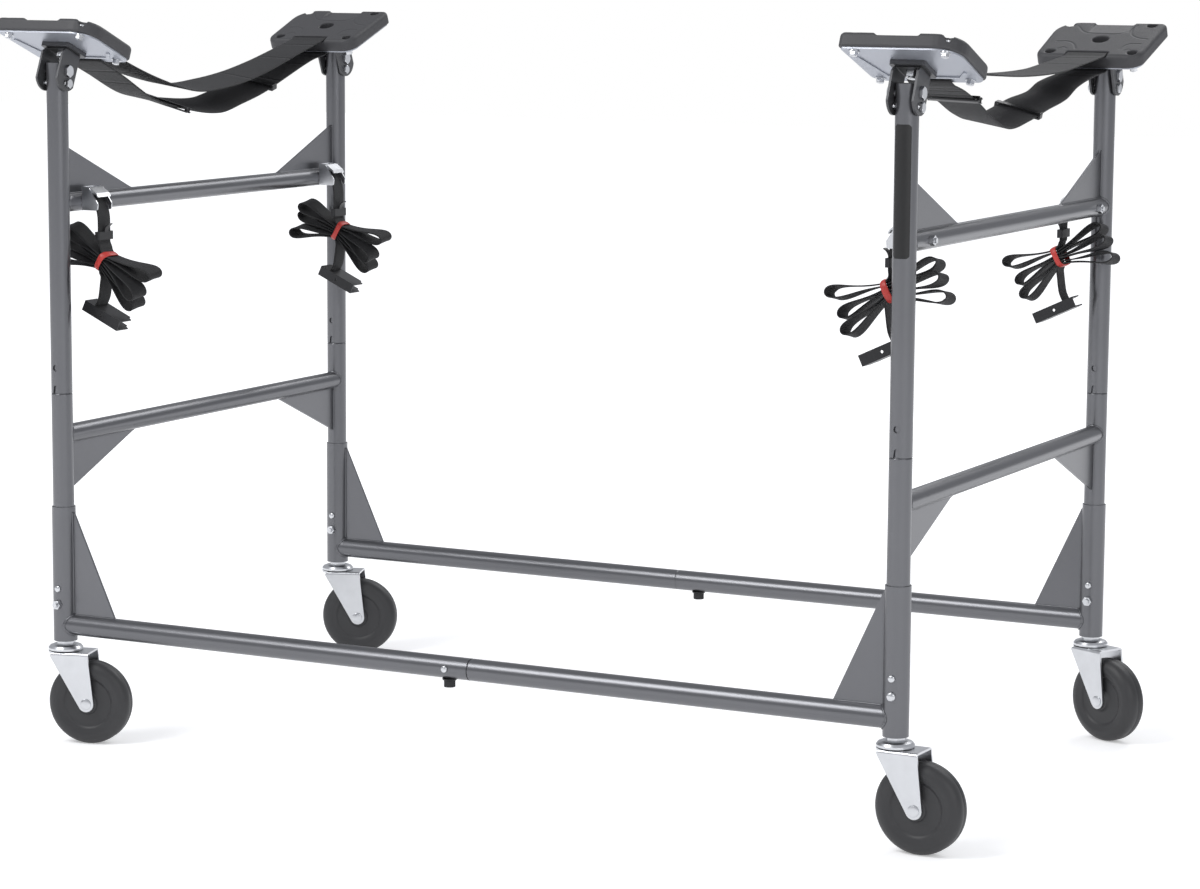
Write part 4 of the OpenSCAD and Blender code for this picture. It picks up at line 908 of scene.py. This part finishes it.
# Materials by the start of a node's name; the first that fits is used
nodeLooks = {
    "corner_": "framePaint", "lower_h_": "framePaint", "upper_h_": "framePaint",
    "frame_bolts": "zincPlate", "rail_bolts": "blackSteel", "pad_head_bolts": "zincPlate",
    "button_springs": "blackSteel", "snap_button_": "zincPlate",
    "pad_bracket_": "headPaint", "pad_plate_": "platePaint", "pad_fasteners_": "zincPlate",
    "pad_f": "cushionRubber", "pad_r": "cushionRubber",
    "caster_": "zincPlate", "wheel_": "wheelRubber",
    "sling_hardware": "blackSteel", "sling_": "webbing",
    "tie_straps": "webbing", "buckle_frames": "zincPlate", "cam_lever_": "zincPlate",
    "strap_sliders": "blackSteel", "bundle_bands": "bandRubber", "strap_hooks": "blackSteel",
}
for name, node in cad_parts.items():
    material = next(materials[chosen] for start, chosen in nodeLooks.items() if name.startswith(start))
    if not node.material_slots:
        node.data.materials.append(material)
    for slot in node.material_slots:
        slot.material = material
for chosen, pieces in (("webbing", straps + slings), ("bandRubber", bands), ("cushionRubber", cushions),
                       ("wheelRubber", wheels), ("labelVinyl", [labelPlace]), ("framePaint", [weldBeads])):
    for piece in pieces:
        piece.data.materials.clear()
        piece.data.materials.append(materials[chosen])


print("studio")
studio = {
    # colour and strength of the sky that lights the rack, then of the one that is seen
    "skies": (((0.93, 0.95, 1), 0.52), ((1, 1, 1), 1.0)),
    "skyMirrored": 0.0,         # share of the seen sky in mirrored rays
    "floor": (0.93, 0.93, 0.935),
    "floorHalf": 14000.0,
    "floorLift": (0.33, 0.70),  # added light, near the rack and far from it
    "floorReach": (1.0, 3.2),   # metres, from near to far
    "lamps": (
        # name, then place, target and size in metres, and watts
        ("keyLamp", (-1.6, -2.6, 3.4), (0, 0, 0.4), (1.5, 2.2), 84),
        ("fillLamp", (3.2, -2.4, 1.9), (0, 0, 0.5), (2.0, 1.6), 30),
        ("backLamp", (0.6, 2.9, 3.0), (0, 0, 0.4), (2.6, 1.4), 44),
    ),
}


# One for a ray that shows a surface or the sky straight to the camera or through glass,
# and the given share of one for a mirrored ray
def seenShare(tree, mirrored):
    rays = addNode(tree, "LightPath").outputs
    partly = mathNode(tree, "MULTIPLY", rays["Is Glossy Ray"], mirrored)
    both = mathNode(tree, "ADD", rays["Is Camera Ray"], partly, clamp=True)
    return mathNode(tree, "ADD", both, rays["Is Transmission Ray"], clamp=True)


def makeSky(scene):
    scene.world = bpy.data.worlds.new("studioSky")
    tree = nodeTree(scene.world)
    both = addNode(tree, "MixShader")
    tree.links.new(seenShare(tree, studio["skyMirrored"]), both.inputs[0])
    for given, (colour, strength) in zip(list(both.inputs)[1:], studio["skies"]):
        sky = addNode(tree, "Background")
        sky.inputs["Color"].default_value = (*colour, 1)
        sky.inputs["Strength"].default_value = strength
        tree.links.new(sky.outputs[0], given)
    tree.links.new(both.outputs[0], addNode(tree, "OutputWorld").inputs[0])


# The floor is lit like the rest and lifted to white where it is seen, so that only its shadows show
def makeFloor():
    half = studio["floorHalf"]
    floor = newPiece("floor", [[-half, -half, 0], [half, -half, 0], [half, half, 0], [-half, half, 0]],
                     [[0, 1, 2, 3]], smooth=False)
    paint = bpy.data.materials.new("floorPaint")
    tree = nodeTree(paint)
    matt = addNode(tree, "BsdfDiffuse")
    matt.inputs["Color"].default_value = (*studio["floor"], 1)
    reach = addNode(tree, "VectorMath", operation="LENGTH")
    tree.links.new(addNode(tree, "TexCoord").outputs["Object"], reach.inputs[0])
    lift = addNode(tree, "MapRange", interpolation_type="SMOOTHSTEP")
    tree.links.new(reach.outputs["Value"], lift.inputs["Value"])
    for title, value in zip(("From Min", "From Max", "To Min", "To Max"),
                            (*studio["floorReach"], *studio["floorLift"])):
        lift.inputs[title].default_value = value
    glow = addNode(tree, "Emission")
    shown = mathNode(tree, "MULTIPLY", seenShare(tree, 1.0), lift.outputs["Result"])
    tree.links.new(shown, glow.inputs["Color"])
    added = addNode(tree, "AddShader")
    tree.links.new(matt.outputs[0], added.inputs[0])
    tree.links.new(glow.outputs[0], added.inputs[1])
    tree.links.new(added.outputs[0], addNode(tree, "OutputMaterial").inputs[0])
    floor.data.materials.append(paint)


def makeLamps(scene):
    for name, place, target, size, watts in studio["lamps"]:
        data = bpy.data.lights.new(name, "AREA")
        data.shape, data.size, data.size_y, data.energy = "RECTANGLE", size[0], size[1], watts
        lamp = bpy.data.objects.new(name, data)
        scene.collection.objects.link(lamp)
        lamp.location = place
        lamp.rotation_mode = "QUATERNION"
        lamp.rotation_quaternion = (Vector(target) - Vector(place)).to_track_quat("-Z", "Y")


bpy.context.scene.view_settings.view_transform = "Standard"
makeSky(bpy.context.scene)
makeFloor()
makeLamps(bpy.context.scene)
